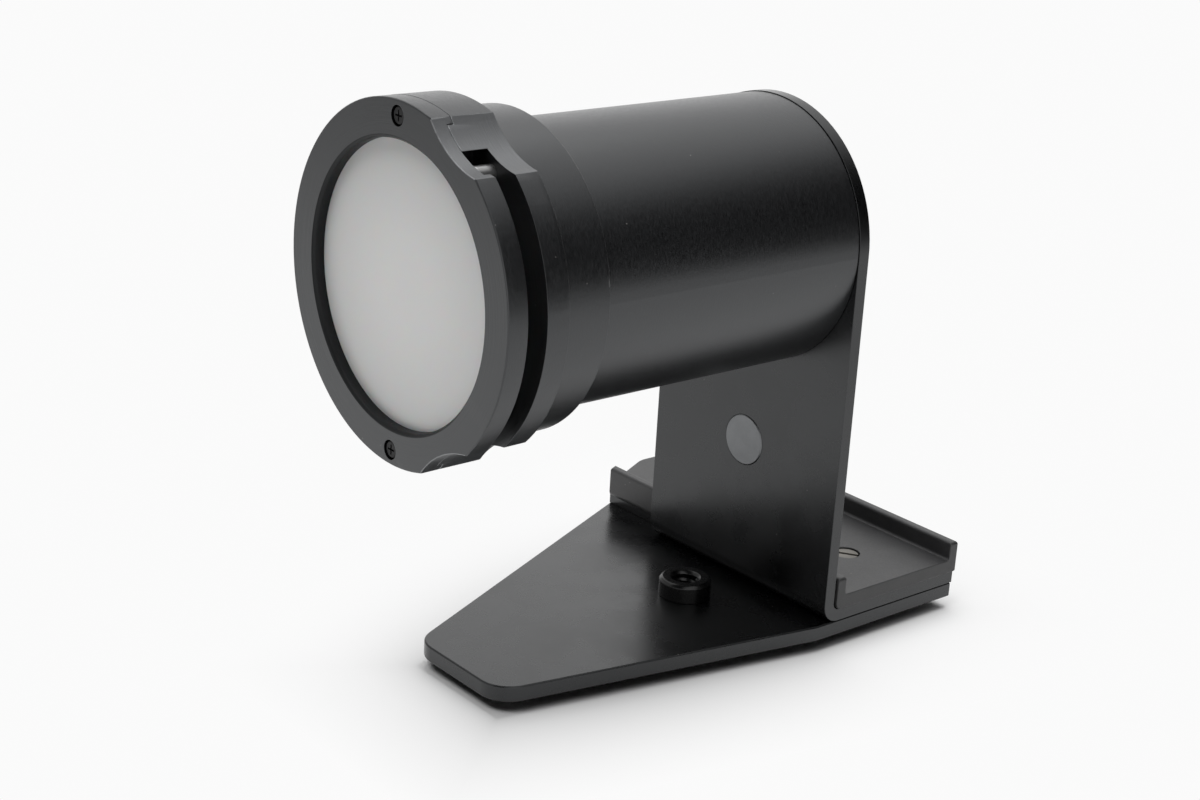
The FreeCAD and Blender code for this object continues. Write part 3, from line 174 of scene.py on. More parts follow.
def new_group(name, inputs, outputs):
    """A shader node group with named sockets; returns its tree and its two ends."""
    kinds = {"value": "NodeSocketFloat", "normal": "NodeSocketVector"}
    group = bpy.data.node_groups.new(name, "ShaderNodeTree")
    for label, start in inputs.items():
        socket = group.interface.new_socket(label, in_out="INPUT", socket_type=kinds["value"])
        socket.default_value = start
    for label, kind in outputs.items():
        group.interface.new_socket(label, in_out="OUTPUT", socket_type=kinds[kind])
    tree = Tree(group)
    return tree, tree.add("NodeGroupInput").outputs, tree.add("NodeGroupOutput").inputs


def make_turning_group():
    """Fine tool lines: rings on flat faces, and strokes round every wall along the tube."""
    tree, given, result = new_group(
        "turning_lines", {"Spacing": 0.0002, "Length": 0.006}, {"Height": "value", "Shade": "value"})
    place = tree.add("ShaderNodeSeparateXYZ", {"Vector": tree.object_place()}).outputs
    facing = tree.add("ShaderNodeSeparateXYZ", {
        "Vector": tree.add("ShaderNodeNewGeometry").outputs["True Normal"]}).outputs["Y"]
    flat = tree.span(tree.math("ABSOLUTE", facing), 0.6, 0.8)
    across = place["X"]
    up = tree.math("SUBTRACT", place["Z"], AXIS_HEIGHT)
    radius = tree.math("SQRT", tree.math(
        "ADD", tree.math("MULTIPLY", across, across), tree.math("MULTIPLY", up, up)))
    fine = tree.math("DIVIDE", 1.0, given["Spacing"])
    long = tree.math("DIVIDE", 1.0, given["Length"])
    rings = tree.add("ShaderNodeCombineXYZ", {
        "X": tree.math("MULTIPLY", radius, fine),
        "Y": tree.math("MULTIPLY", tree.math("DIVIDE", across, radius), 2.6),
        "Z": tree.math("MULTIPLY", tree.math("DIVIDE", up, radius), 2.6)}).outputs[0]
    strokes = tree.add("ShaderNodeCombineXYZ", {
        "X": tree.math("MULTIPLY", across, long),
        "Y": tree.math("MULTIPLY", place["Y"], fine),
        "Z": tree.math("MULTIPLY", up, long)}).outputs[0]
    ring_noise = tree.noise(rings, 1.0, 3.0, 0.65)
    stroke_noise = tree.noise(strokes, 1.0, 3.0, 0.65)
    height = tree.add("ShaderNodeMix", data_type="FLOAT")
    tree.feed(height.inputs[0], flat)
    tree.feed(height.inputs[2], stroke_noise)
    tree.feed(height.inputs[3], ring_noise)
    tree.feed(result["Height"], height.outputs[0])
    tree.feed(result["Shade"], tree.span(height.outputs[0], 0.3, 0.7))


def make_grain_group():
    """Fine even grain with faint wider clouds, as on blasted and anodised sheet."""
    tree, given, result = new_group(
        "fine_grain", {"Size": 0.0002}, {"Height": "value", "Clouds": "value"})
    place = tree.object_place()
    scale = tree.math("DIVIDE", 1.0, given["Size"])
    fine = tree.noise(place, scale, 2.0, 0.6)
    clouds = tree.noise(place, tree.math("MULTIPLY", scale, 0.02), 4.0, 0.6)
    tree.feed(result["Height"], fine)
    tree.feed(result["Clouds"], tree.span(clouds, 0.35, 0.65))


def make_edge_group():
    """Where a surface turns over an edge, broken up as light wear is."""
    tree, given, result = new_group(
        "edge_wear", {"Reach": 0.0003, "Break": 0.5}, {"Mask": "value", "Normal": "normal"})
    rounded = tree.add("ShaderNodeBevel", {"Radius": given["Reach"]}, samples=4).outputs[0]
    straight = tree.add("ShaderNodeNewGeometry").outputs["Normal"]
    match = tree.add("ShaderNodeVectorMath", operation="DOT_PRODUCT")
    tree.feed(match.inputs[0], rounded)
    tree.feed(match.inputs[1], straight)
    edge = tree.span(match.outputs["Value"], 0.98, 0.8)
    patches = tree.span(tree.noise(tree.object_place(), 900.0, 3.0), 0.35, 0.6)
    kept = tree.math("SUBTRACT", 1.0, tree.math("MULTIPLY", given["Break"], patches))
    tree.feed(result["Mask"], tree.math("MULTIPLY", edge, kept, clamp=True))
    tree.feed(result["Normal"], rounded)


def make_dust_group():
    """Sparse small specks."""
    tree, given, result = new_group(
        "dust_specks", {"Size": 0.00025, "Share": 0.04}, {"Mask": "value"})
    cells = tree.add("ShaderNodeTexVoronoi", {
        "Vector": tree.object_place(),
        "Scale": tree.math("DIVIDE", 0.14, given["Size"]), "Randomness": 1.0})
    chosen = tree.add("ShaderNodeSeparateColor", {"Color": cells.outputs["Color"]}).outputs
    near = tree.span(cells.outputs["Distance"], 0.05, 0.11, 1.0, 0.0)
    some = tree.math("LESS_THAN", chosen[0], given["Share"])
    tree.feed(result["Mask"], tree.math("MULTIPLY", near, some, clamp=True))


def make_groups():
    make_turning_group()
    make_grain_group()
    make_edge_group()
    make_dust_group()


# ---------------------------------------------------------------- finishes

def new_finish(name):
    """A material with its tree and its Principled shader."""
    material = bpy.data.materials.new(name)
    material.use_nodes = True
    tree = Tree(material.node_tree)
    return material, tree, tree.nodes["Principled BSDF"]


def use_group(tree, name, **values):
    node = tree.add("ShaderNodeGroup", node_tree=bpy.data.node_groups[name])
    for label, value in values.items():
        tree.feed(node.inputs[label], value)
    return node.outputs


def emboss(tree, height, depth, strength, normal):
    return tree.add("ShaderNodeBump", {
        "Height": height, "Distance": depth, "Strength": strength, "Normal": normal}).outputs[0]


def anodised_turned(
        name="anodised_turned", base=(0.0075, 0.0077, 0.0083), rough=0.33, depth=1.0, spacing=0.0003,
        ior=1.7, stroke=0.0012):
    """Satin black anodising over turned aluminium."""
    material, tree, shader = new_finish(name)
    lines = use_group(tree, "turning_lines", Spacing=spacing, Length=stroke)
    edge = use_group(tree, "edge_wear", Reach=0.00018, Break=0.4)
    dust = use_group(tree, "dust_specks", Size=0.00025, Share=0.04)
    dark = tuple(part * 0.55 for part in base) + (1.0,)
    light = tuple(part * 1.6 for part in base) + (1.0,)
    colour = tree.blend(lines["Shade"], dark, light)
    colour = tree.blend(tree.math("MULTIPLY", edge["Mask"], 0.5), colour, WORN)
    colour = tree.blend(tree.math("MULTIPLY", dust["Mask"], 0.6), colour, DUST)
    tree.feed(shader.inputs["Base Color"], colour)
    tree.feed(shader.inputs["Roughness"], tree.span(lines["Shade"], 0, 1, rough - 0.05, rough + 0.06))
    shader.inputs["IOR"].default_value = ior
    shader.inputs["Specular Tint"].default_value = (0.95, 0.975, 1.0, 1.0)
    normal = emboss(tree, lines["Height"], 0.00005 * depth, 0.7, edge["Normal"])
    tree.feed(shader.inputs["Normal"], normal)
    return material


def anodised_plate():
    """Satin black anodising over flat sheet."""
    base, rough = (0.0032, 0.0033, 0.0035), 0.27
    material, tree, shader = new_finish("anodised_plate")
    grain = use_group(tree, "fine_grain", Size=0.00025)
    edge = use_group(tree, "edge_wear", Reach=0.0002, Break=0.4)
    dust = use_group(tree, "dust_specks", Size=0.00025, Share=0.012)
    dark = tuple(part * 0.85 for part in base) + (1.0,)
    light = tuple(part * 1.2 for part in base) + (1.0,)
    colour = tree.blend(grain["Clouds"], dark, light)
    colour = tree.blend(tree.math("MULTIPLY", edge["Mask"], 0.5), colour, WORN)
    colour = tree.blend(tree.math("MULTIPLY", dust["Mask"], 0.6), colour, DUST)
    tree.feed(shader.inputs["Base Color"], colour)
    tree.feed(shader.inputs["Roughness"], tree.span(grain["Clouds"], 0, 1, rough - 0.03, rough + 0.04))
    shader.inputs["IOR"].default_value = 1.6
    shader.inputs["Specular Tint"].default_value = (0.96, 0.98, 1.0, 1.0)
    normal = emboss(tree, grain["Height"], 0.000008, 0.3, edge["Normal"])
    tree.feed(shader.inputs["Normal"], normal)
    return material


def moulded_black():
    """Black moulded plastic with a fine spark-eroded grain."""
    material, tree, shader = new_finish("moulded_black")
    grain = use_group(tree, "fine_grain", Size=0.0003)
    edge = use_group(tree, "edge_wear", Reach=0.00025, Break=0.3)
    dust = use_group(tree, "dust_specks", Size=0.00025, Share=0.08)
    colour = tree.blend(grain["Clouds"], (0.024, 0.024, 0.025, 1.0), (0.036, 0.036, 0.037, 1.0))
    colour = tree.blend(tree.math("MULTIPLY", dust["Mask"], 0.6), colour, DUST)
    tree.feed(shader.inputs["Base Color"], colour)
    tree.feed(shader.inputs["Roughness"], tree.span(grain["Height"], 0.3, 0.7, 0.42, 0.56))
    shader.inputs["IOR"].default_value = 1.6
    tree.feed(shader.inputs["Normal"], emboss(tree, grain["Height"], 0.00004, 0.7, edge["Normal"]))
    return material


def opal_white():
    """Milky acrylic; its colour is painted greyer towards the rim, as painted shade where the black ring
    takes the light that it scatters.
    """
    material, tree, shader = new_finish("opal")
    grain = use_group(tree, "fine_grain", Size=0.0008)
    place = tree.add("ShaderNodeMapping", {
        "Vector": tree.object_place(), "Location": (0.0, 0.0, -AXIS_HEIGHT), "Scale": (1.0, 0.0, 1.0)})
    reach = tree.add("ShaderNodeVectorMath", operation="LENGTH")
    tree.feed(reach.inputs[0], place.outputs[0])
    # Painted shade: the colour greys towards the rim.
    rim = tree.span(reach.outputs["Value"], 6.0 * MM, 32.0 * MM, smooth=True)
    milk_with_rim_shade = tree.blend(rim, (0.77, 0.77, 0.763, 1.0), (0.67, 0.67, 0.665, 1.0))
    colour = tree.blend(tree.math("MULTIPLY", grain["Clouds"], 0.05), milk_with_rim_shade, (0.84, 0.84, 0.832, 1.0))
    tree.feed(shader.inputs["Base Color"], colour)
    tree.feed(shader.inputs["Roughness"], tree.span(grain["Height"], 0.3, 0.7, 0.3, 0.36))
    shader.inputs["Subsurface Weight"].default_value = 0.3
    shader.inputs["Subsurface Scale"].default_value = 0.001
    tree.feed(shader.inputs["Normal"], emboss(
        tree, grain["Height"], 0.000005, 0.3, tree.add("ShaderNodeNewGeometry").outputs["Normal"]))
    return material


def rubber():
    material, tree, shader = new_finish("feet_rubber")
    grain = use_group(tree, "fine_grain", Size=0.0003)
    edge = use_group(tree, "edge_wear", Reach=0.0004, Break=0.2)
    tree.feed(shader.inputs["Base Color"], tree.blend(
        grain["Clouds"], (0.014, 0.014, 0.014, 1.0), (0.024, 0.023, 0.022, 1.0)))
    tree.feed(shader.inputs["Roughness"], tree.span(grain["Height"], 0.3, 0.7, 0.7, 0.85))
    tree.feed(shader.inputs["Normal"], emboss(tree, grain["Height"], 0.00003, 0.6, edge["Normal"]))
    return material


def metal(name, dark, light, rough):
    """Bare or plated metal with fine scratches."""
    material, tree, shader = new_finish(name)
    grain = use_group(tree, "fine_grain", Size=0.0002)
    edge = use_group(tree, "edge_wear", Reach=0.00015, Break=0.3)
    tree.feed(shader.inputs["Base Color"], tree.blend(grain["Clouds"], dark + (1.0,), light + (1.0,)))
    shader.inputs["Metallic"].default_value = 1.0
    tree.feed(shader.inputs["Roughness"], tree.span(grain["Height"], 0.3, 0.7, rough - 0.05, rough + 0.06))
    tree.feed(shader.inputs["Normal"], emboss(tree, grain["Height"], 0.000006, 0.4, edge["Normal"]))
    return material


def black_steel(name, base, rough, ior):
    """Blackened steel."""
    material, tree, shader = new_finish(name)
    grain = use_group(tree, "fine_grain", Size=0.00015)
    edge = use_group(tree, "edge_wear", Reach=0.00012, Break=0.3)
    dark = (base * 0.8, base * 0.8, base * 0.85, 1.0)
    light = (base * 1.3, base * 1.3, base * 1.35, 1.0)
    colour = tree.blend(grain["Clouds"], dark, light)
    colour = tree.blend(tree.math("MULTIPLY", edge["Mask"], 0.5), colour, WORN_STEEL)
    tree.feed(shader.inputs["Base Color"], colour)
    tree.feed(shader.inputs["Roughness"], tree.span(grain["Height"], 0.3, 0.7, rough - 0.05, rough + 0.08))
    shader.inputs["IOR"].default_value = ior
    tree.feed(shader.inputs["Normal"], emboss(tree, grain["Height"], 0.000008, 0.4, edge["Normal"]))
    return material


def glass(name, ior, tint):
    material, tree, shader = new_finish(name)
    grain = use_group(tree, "fine_grain", Size=0.002)
    tree.feed(shader.inputs["Base Color"], tree.blend(
        grain["Clouds"], tint + (1.0,), tuple(part * 0.99 for part in tint) + (1.0,)))
    tree.feed(shader.inputs["Roughness"], tree.span(grain["Height"], 0.3, 0.7, 0.0, 0.02))
    shader.inputs["IOR"].default_value = ior
    shader.inputs["Transmission Weight"].default_value = 1.0
    return material


def make_finishes():
    """One finish for each material slot of the record."""
    return {
        "anodised_plate": anodised_plate(),
        "anodised_turned": anodised_turned(),
        "anodised_milled": anodised_turned(
            "anodised_milled", (0.0095, 0.0098, 0.0106), 0.36, 2.6, 0.0004, 2.1, 0.005),
        "anodised_inner": anodised_turned("anodised_inner", (0.006, 0.006, 0.0065), 0.5),
        # A painted highlight: a bright colour for the rounded strips along chosen scallop edges.
        "painted_edge_highlight": anodised_turned("painted_edge_highlight", (0.13, 0.132, 0.137), 0.3, 1.5, 0.0012, 2.0),
        "window_wall": anodised_turned("window_wall", (0.004, 0.0041, 0.0044), 0.4, 1.0, 0.0003, 1.35),
        "badge_grey": metal("badge_grey", (0.16, 0.165, 0.17), (0.2, 0.205, 0.21), 0.42),
        "moulded_black": moulded_black(),
        "opal": opal_white(),
        "feet_rubber": rubber(),
        "black_steel": black_steel("black_steel", 0.006, 0.42, 1.35),
        # Painted shade: a near-black colour for the walls of screw bores and cross recesses.
        "painted_recess_shade": black_steel("painted_recess_shade", 0.001, 0.6, 1.15),
        "nickel": metal("nickel", (0.13, 0.124, 0.112), (0.2, 0.19, 0.172), 0.42),
        "bright_steel": metal("bright_steel", (0.26, 0.26, 0.26), (0.36, 0.36, 0.36), 0.36),
        "spring_steel": metal("spring_steel", (0.32, 0.31, 0.3), (0.4, 0.39, 0.38), 0.3),
        "bush_black": black_steel("bush_black", 0.002, 0.24, 1.5),
        "glass_crown": glass("glass_crown", 1.517, (0.97, 0.985, 0.98)),
        "glass_flint": glass("glass_flint", 1.62, (0.975, 0.98, 0.965)),
    }


def slot_of(node):
    return next(
        part["material_slot"] for part in frame["record"]["subparts"] if part["node"] == node)


def dress_cad_nodes():
    for name, node in frame["nodes"].items():
        node.data.materials.clear()
        node.data.materials.append(FINISHES[slot_of(name)])


# ---------------------------------------------------------------- piece helpers

def whole_faces(node, least=0.0):
    """A copy of a CAD node's mesh, its triangles joined to whole faces and its least edges gone."""
    shape = bmesh.new()
    shape.from_mesh(frame["nodes"][node].data)
    bmesh.ops.remove_doubles(shape, verts=shape.verts[:], dist=WELD)
    bmesh.ops.dissolve_limit(
        shape, angle_limit=math.radians(0.2), verts=shape.verts[:], edges=shape.edges[:])
    if least:
        bmesh.ops.dissolve_degenerate(shape, edges=shape.edges[:], dist=least)
    return shape


def middle(edge):
    return (edge.verts[0].co + edge.verts[1].co) / 2


def round_edges(shape, width, steps=2, turn=50.0, chosen=None, finish=-1, held=True):
    """Round the edges that turn by more than an angle, or the chosen ones of them.

    A width that is held shrinks to what the shortest neighbouring edge allows.
    """
    edges = [
        edge for edge in shape.edges
        if edge.is_manifold and edge.calc_face_angle() > math.radians(turn)
        and (chosen is None or chosen(middle(edge)))]
    bmesh.ops.bevel(
        shape, geom=edges, offset=width, offset_type="OFFSET", segments=steps, profile=0.5,
        affect="EDGES", clamp_overlap=held, material=finish)


def add_piece(name, shape, node, extra=(), sharp=58.0):
    """Make a piece that stands for a CAD node, with its body and its slot's finish."""
    mesh = bpy.data.meshes.new(name)
    shape.normal_update()
    for face in shape.faces:
        face.smooth = True
    shape.to_mesh(mesh)
    shape.free()
    mesh.set_sharp_from_angle(angle=math.radians(sharp))
    for finish in (slot_of(node), *extra):
        mesh.materials.append(FINISHES[finish])
    piece = bpy.data.objects.new(name, mesh)
    bpy.context.scene.collection.objects.link(piece)
    weigh = piece.modifiers.new("even_normals", "WEIGHTED_NORMAL")
    weigh.keep_sharp = True
    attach(piece, frame["nodes"][node]["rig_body"])
    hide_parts(node)


def lathe(shape, outline, centre, steps=96):
    """Turn a closed outline of (radius, height) pairs into a whole ring or disc."""
    start = [shape.verts.new(centre + Vector((radius, 0.0, height))) for radius, height in outline]
    edges = [shape.edges.new(pair) for pair in zip(start, start[1:] + start[:1])]
    bmesh.ops.spin(
        shape, geom=start + edges, cent=centre, axis=(0, 0, 1), dvec=(0, 0, 0),
        angle=math.tau, steps=steps, use_merge=True, use_normal_flip=False, use_duplicate=False)
    bmesh.ops.remove_doubles(shape, verts=shape.verts[:], dist=MERGE)
    bmesh.ops.recalc_face_normals(shape, faces=shape.faces[:])


def thread(shape, root, crest, low, pitch, turns, centre, steps=40):
    """A helical ridge from a root radius to its crest, round an upright axis."""
    half = 0.42 * pitch
    corners = [(root, -half), (crest, -0.06 * pitch), (crest, 0.06 * pitch), (root, half)]
    ring = [shape.verts.new(centre + Vector((radius, 0.0, low + rise))) for radius, rise in corners]
    face = shape.faces.new(ring)
    bmesh.ops.spin(
        shape, geom=[face, *face.edges, *ring], cent=centre, axis=(0, 0, 1),
        dvec=(0, 0, pitch / steps), angle=math.tau * turns, steps=round(steps * turns),
        use_merge=False, use_normal_flip=False, use_duplicate=False)
    bmesh.ops.recalc_face_normals(shape, faces=shape.faces[:])


# ---------------------------------------------------------------- stand

def make_base():
    shape = whole_faces("base_plate")
    round_edges(shape, 0.15 * MM, turn=38.0)
    add_piece("plate_of_the_stand", shape, "base_plate")


def make_bracket():
    shape = whole_faces("bent_bracket")
    round_edges(shape, 0.22 * MM, steps=3)
    add_piece("bracket_sheet", shape, "bent_bracket")


def make_camera_plate():
    """The edge of the underside is rounder than the other edges, so that a dark seam shows there."""
    shape = whole_faces("camera_plate", LEAST_EDGE)
    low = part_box("camera_plate")[0].z

    def under(spot):
        return spot.z < low + FLAT

    round_edges(shape, 0.35 * MM, steps=3, turn=60.0, chosen=under, held=False)
    round_edges(shape, 0.2 * MM, steps=3, held=False)
    add_piece("moulded_plate", shape, "camera_plate")


def make_bush():
    """The tripod bush, with its thread cut from a quarter inch core."""
    low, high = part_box("tripod_bush")
    centre = Vector((0.0, 0.0, low.z))
    tall = high.z - low.z
    flange, shank, seat = high.x, 5.0 * MM, 4.0 * MM
    root, crest, chamfer = 3.18 * MM, 2.62 * MM, 0.7 * MM
    shape = bmesh.new()
    lathe(shape, [
        (root, 0.0), (shank, 0.0), (shank, seat), (flange, seat), (flange, tall - chamfer),
        (flange - chamfer, tall), (root + chamfer, tall), (root, tall - chamfer),
    ], centre)
    round_edges(shape, 0.18 * MM, steps=3, turn=35.0)
    thread(shape, root + OVERLAP, crest, 0.75 * MM, QUARTER_INCH_PITCH, 5.2, centre)
    add_piece("threaded_bush", shape, "tripod_bush")


def make_camera_screw():
    """The coin slotted head and its thread above the camera plate."""
    shape = whole_faces("camera_screw")
    low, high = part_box("camera_screw")
    cut = high.z - 5.0 * MM
    bmesh.ops.bisect_plane(
        shape, geom=shape.verts[:] + shape.edges[:] + shape.faces[:], dist=MERGE,
        plane_co=(0, 0, cut), plane_no=(0, 0, 1), clear_outer=True, clear_inner=False)
    bmesh.ops.holes_fill(shape, edges=[edge for edge in shape.edges if edge.is_boundary], sides=0)
    round_edges(shape, 0.25 * MM, steps=2)
    centre = Vector(((low.x + high.x) / 2, (low.y + high.y) / 2, 0.0))
    core, crest = 2.55 * MM, 3.17 * MM
    lathe(shape, [
        (0.0, cut - 0.6 * MM), (core, cut - 0.6 * MM), (core, high.z - 0.5 * MM),
        (core - 0.5 * MM, high.z), (0.0, high.z),
    ], centre)
    thread(shape, core - OVERLAP, crest, cut + 0.55 * MM, QUARTER_INCH_PITCH, 2.9, centre)
    add_piece("quarter_inch_screw", shape, "camera_screw")


def make_feet():
    shape = whole_faces("rubber_feet")
    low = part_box("rubber_feet")[0].z

    def at_the_ground(spot):
        return spot.z < low + 0.1 * MM

    round_edges(shape, 0.7 * MM, steps=4, chosen=at_the_ground)
    add_piece("soft_feet", shape, "rubber_feet")


def make_slotted_screws():
    shape = whole_faces("camera_plate_screws")
    round_edges(shape, 0.18 * MM, steps=3)
    add_piece("slotted_screws", shape, "camera_plate_screws")


def make_ring_screws():
    """The two cross recess screws in the front ring: each recess narrows to its floor, and its walls get
    painted shade.
    """
    shape = whole_faces("ring_screws")
    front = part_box("ring_screws")[0].y
    recess_floor, recess_radius, rim_radius = front + 0.7 * MM, 1.6 * MM, 1.7 * MM
    narrowing, recess = 0.45, 1
    spots = [Vector((0.0, recess_floor, AXIS_HEIGHT + side * RING_SCREW_UP)) for side in (1, -1)]

    def off_axis(place):
        """The way from the nearer screw's axis to a point."""
        spot = min(spots, key=lambda centre: (centre - place).length)
        return Vector((place.x - spot.x, 0.0, place.z - spot.z))

    def on_the_rim(spot):
        return abs(spot.y - front) < FLAT and off_axis(spot).length > rim_radius

    for vert in shape.verts:
        reach = off_axis(vert.co)
        if abs(vert.co.y - recess_floor) < FLAT and reach.length < recess_radius:
            vert.co -= reach * narrowing
    # The walls of each recess get painted shade.
    for face in shape.faces:
        place = face.calc_center_median()
        within = off_axis(place).length < recess_radius
        if within and front + FLAT < place.y < recess_floor + 0.1 * MM:
            face.material_index = recess
    round_edges(shape, 0.3 * MM, steps=3, turn=40.0, chosen=on_the_rim)
    round_edges(shape, 0.07 * MM, steps=2, turn=40.0)
    add_piece("cross_recess_screws", shape, "ring_screws", extra=["painted_recess_shade"])


def make_blank_disc():
    shape = whole_faces("blank_disc")
    round_edges(shape, 0.06 * MM, steps=2, turn=30.0)
    add_piece("plain_disc", shape, "blank_disc")


# ---------------------------------------------------------------- slide head

def on_scallop(spot, reach=0.1 * MM):
    """Whether a point lies on the wall of a finger scallop."""
    return any(
        abs(math.hypot(spot.x - SCALLOP_ACROSS, spot.z - AXIS_HEIGHT - side * SCALLOP_UP)
            - SCALLOP_RADIUS) < reach
        for side in (1, -1))


def mark_scallops(shape):
    """Give the milled walls of the finger scallops their own finish."""
    for face in shape.faces:
        wall = face.material_index == 0 and abs(face.normal.y) < 0.5
        if wall and on_scallop(face.calc_center_median()):
            face.material_index = MILLED


def chamfer_rear(shape, rear, radius, length, drop):
    """Draw a round wall in towards its rear edge."""
    bmesh.ops.bisect_plane(
        shape, geom=shape.verts[:] + shape.edges[:] + shape.faces[:], dist=MERGE,
        plane_co=(0, rear - length, 0), plane_no=(0, 1, 0))
    for vert in shape.verts:
        up = vert.co.z - AXIS_HEIGHT
        reach = math.hypot(vert.co.x, up)
        if vert.co.y > rear - 0.01 * MM and abs(reach - radius) < TOUCH:
            vert.co.x *= (radius - drop) / radius
            vert.co.z = AXIS_HEIGHT + up * (radius - drop) / radius


def make_front_ring():
    """A bright strip of colour is painted as a highlight along the edge between its face and its scallops.
    """
    shape = whole_faces("front_ring", LEAST_EDGE)
    low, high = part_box("front_ring")

    def at_the_face(spot):
        return on_scallop(spot) and spot.y < low.y + TOUCH

    def at_the_joint(spot):
        return on_scallop(spot) and spot.y > high.y - TOUCH

    # This strip gets the painted highlight colour.
    round_edges(shape, 0.2 * MM, steps=3, chosen=at_the_face, finish=EDGE_HIGHLIGHT, held=False)
    round_edges(shape, 0.22 * MM, steps=3, chosen=at_the_joint, held=False)
    round_edges(shape, RING_ROUND, steps=2, turn=55.0)
    mark_scallops(shape)
    for face in shape.faces:
        spot = face.calc_center_median()
        from_screw = math.hypot(spot.x, abs(spot.z - AXIS_HEIGHT) - RING_SCREW_UP)
        from_axis = math.hypot(spot.x, spot.z - AXIS_HEIGHT)
        # The walls of the screw bores get painted shade.
        if from_screw < SCREW_BORE and abs(face.normal.y) < 0.5:
            face.material_index = RECESS_SHADE
        elif face.material_index == 0 and from_axis < WINDOW_RADIUS and abs(face.normal.y) < 0.95:
            face.material_index = WALL
    add_piece(
        "window_ring", shape, "front_ring",
        extra=["anodised_milled", "painted_edge_highlight", "painted_recess_shade", "window_wall"], sharp=40.0)


def make_stage_ring():
    """A bright strip of colour is painted as a highlight along the edge of its scallops at the joint."""
    shape = whole_faces("stage_ring", LEAST_EDGE)
    low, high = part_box("stage_ring")
    chamfer_rear(shape, high.y, HEAD_RADIUS, 1.2 * MM, 0.45 * MM)

    def at_the_joint(spot):
        return on_scallop(spot) and low.y - TOUCH < spot.y < HEAD_JOINT + 0.1 * MM

    # This strip gets the painted highlight colour.
    round_edges(shape, 0.16 * MM, steps=3, chosen=at_the_joint, finish=EDGE_HIGHLIGHT, held=False)
    round_edges(shape, RING_ROUND, steps=2, turn=55.0)
    mark_scallops(shape)
    add_piece(
        "slide_stage", shape, "stage_ring", extra=["anodised_milled", "painted_edge_highlight"], sharp=40.0)


def make_collar():
    shape = whole_faces("tube_collar", LEAST_EDGE)
    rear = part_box("tube_collar")[1].y
    chamfer_rear(shape, rear, COLLAR_RADIUS, 0.5 * MM, 0.2 * MM)
    round_edges(shape, RING_ROUND, steps=2, turn=55.0)
    add_piece("collar_of_the_tube", shape, "tube_collar", sharp=40.0)


def make_guide_pins():
    """Steel pins with domed ends."""
    shape = whole_faces("guide_pins")
    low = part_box("guide_pins")[0].y

    def at_the_tip(spot):
        return spot.y < low + 0.6 * MM

    round_edges(shape, 0.9 * MM, steps=5, turn=30.0, chosen=at_the_tip)
    add_piece("domed_pins", shape, "guide_pins")


def make_pieces():
    make_base()
    make_bracket()
    make_camera_plate()
    make_bush()
    make_camera_screw()
    make_feet()
    make_slotted_screws()
    make_ring_screws()
    make_blank_disc()
    make_front_ring()
    make_stage_ring()
    make_collar()
    make_guide_pins()


# ---------------------------------------------------------------- studio

def make_floor():
    """A large pale floor with the object's shadow, which fades to plain white round the base plate."""
    mesh = bpy.data.meshes.new("studio_floor")
    shape = bmesh.new()
    bmesh.ops.create_grid(shape, x_segments=1, y_segments=1, size=6.0)
    bmesh.ops.translate(shape, verts=shape.verts, vec=(0, 0, FLOOR))
    shape.to_mesh(mesh)
    shape.free()
    floor = bpy.data.objects.new("studio_floor", mesh)
    bpy.context.scene.collection.objects.link(floor)
    material, tree, shader = new_finish("pale_floor")
    shader.inputs["Base Color"].default_value = (0.9, 0.9, 0.9, 1.0)
    shader.inputs["Roughness"].default_value = 0.9
    shader.inputs["Specular IOR Level"].default_value = 0.1
    outside = None
    for start, end in zip(FOOTPRINT, FOOTPRINT[1:] + FOOTPRINT[:1]):
        along = Vector(end) - Vector(start)
        out = Vector((along.y, -along.x, 0.0)).normalized()
        reach = tree.add(
            "ShaderNodeVectorMath", {"Vector": tree.object_place()}, operation="DOT_PRODUCT")
        reach.inputs[1].default_value = out
        side = tree.math("SUBTRACT", reach.outputs["Value"], out.x * start[0] + out.y * start[1])
        outside = side if outside is None else tree.math("MAXIMUM", outside, side)
    far = tree.math("POWER", tree.span(outside, 0.0, FADE_WIDTH), FADE_POWER)
    white = tree.add("ShaderNodeEmission", {"Color": (1, 1, 1, 1), "Strength": WHITE})
    mix = tree.add("ShaderNodeMixShader")
    tree.feed(mix.inputs[0], tree.math("MULTIPLY", tree.seen(), far))
    tree.feed(mix.inputs[1], shader.outputs[0])
    tree.feed(mix.inputs[2], white.outputs[0])
    tree.feed(tree.nodes["Material Output"].inputs["Surface"], mix.outputs[0])
    material.cycles.emission_sampling = "NONE"
    mesh.materials.append(material)


def make_world(fill):
    """White where it is seen, and an even soft light from above."""
    world = bpy.data.worlds.new("studio")
    bpy.context.scene.world = world
    world.use_nodes = True
    world.cycles.sampling_method = "NONE"
    tree = Tree(world.node_tree)
    background = tree.nodes["Background"]
    background.inputs["Color"].default_value = (1.0, 1.0, 1.0, 1.0)
    rise = tree.add("ShaderNodeSeparateXYZ", {"Vector": tree.object_place()}).outputs["Z"]
    dome = tree.span(rise, 0.65, 0.85, 0.0, fill, smooth=True)
    tree.feed(background.inputs["Strength"], tree.span(tree.seen(), 0.0, 1.0, dome, WHITE))


def make_softbox(name, place, target, width, height, power, mirrored=True):
    """A soft lamp; one that isn't mirrored lights surfaces but shows in no reflection."""
    lamp = bpy.data.lights.new(name, "AREA")
    lamp.shape = "RECTANGLE"
    lamp.size, lamp.size_y = width, height
    lamp.energy = power
    box = bpy.data.objects.new(name, lamp)
    bpy.context.scene.collection.objects.link(box)
    box.location = place
    box.rotation_mode = "QUATERNION"
    box.rotation_quaternion = (Vector(target) - Vector(place)).to_track_quat("-Z", "Y")
    box.visible_glossy = mirrored


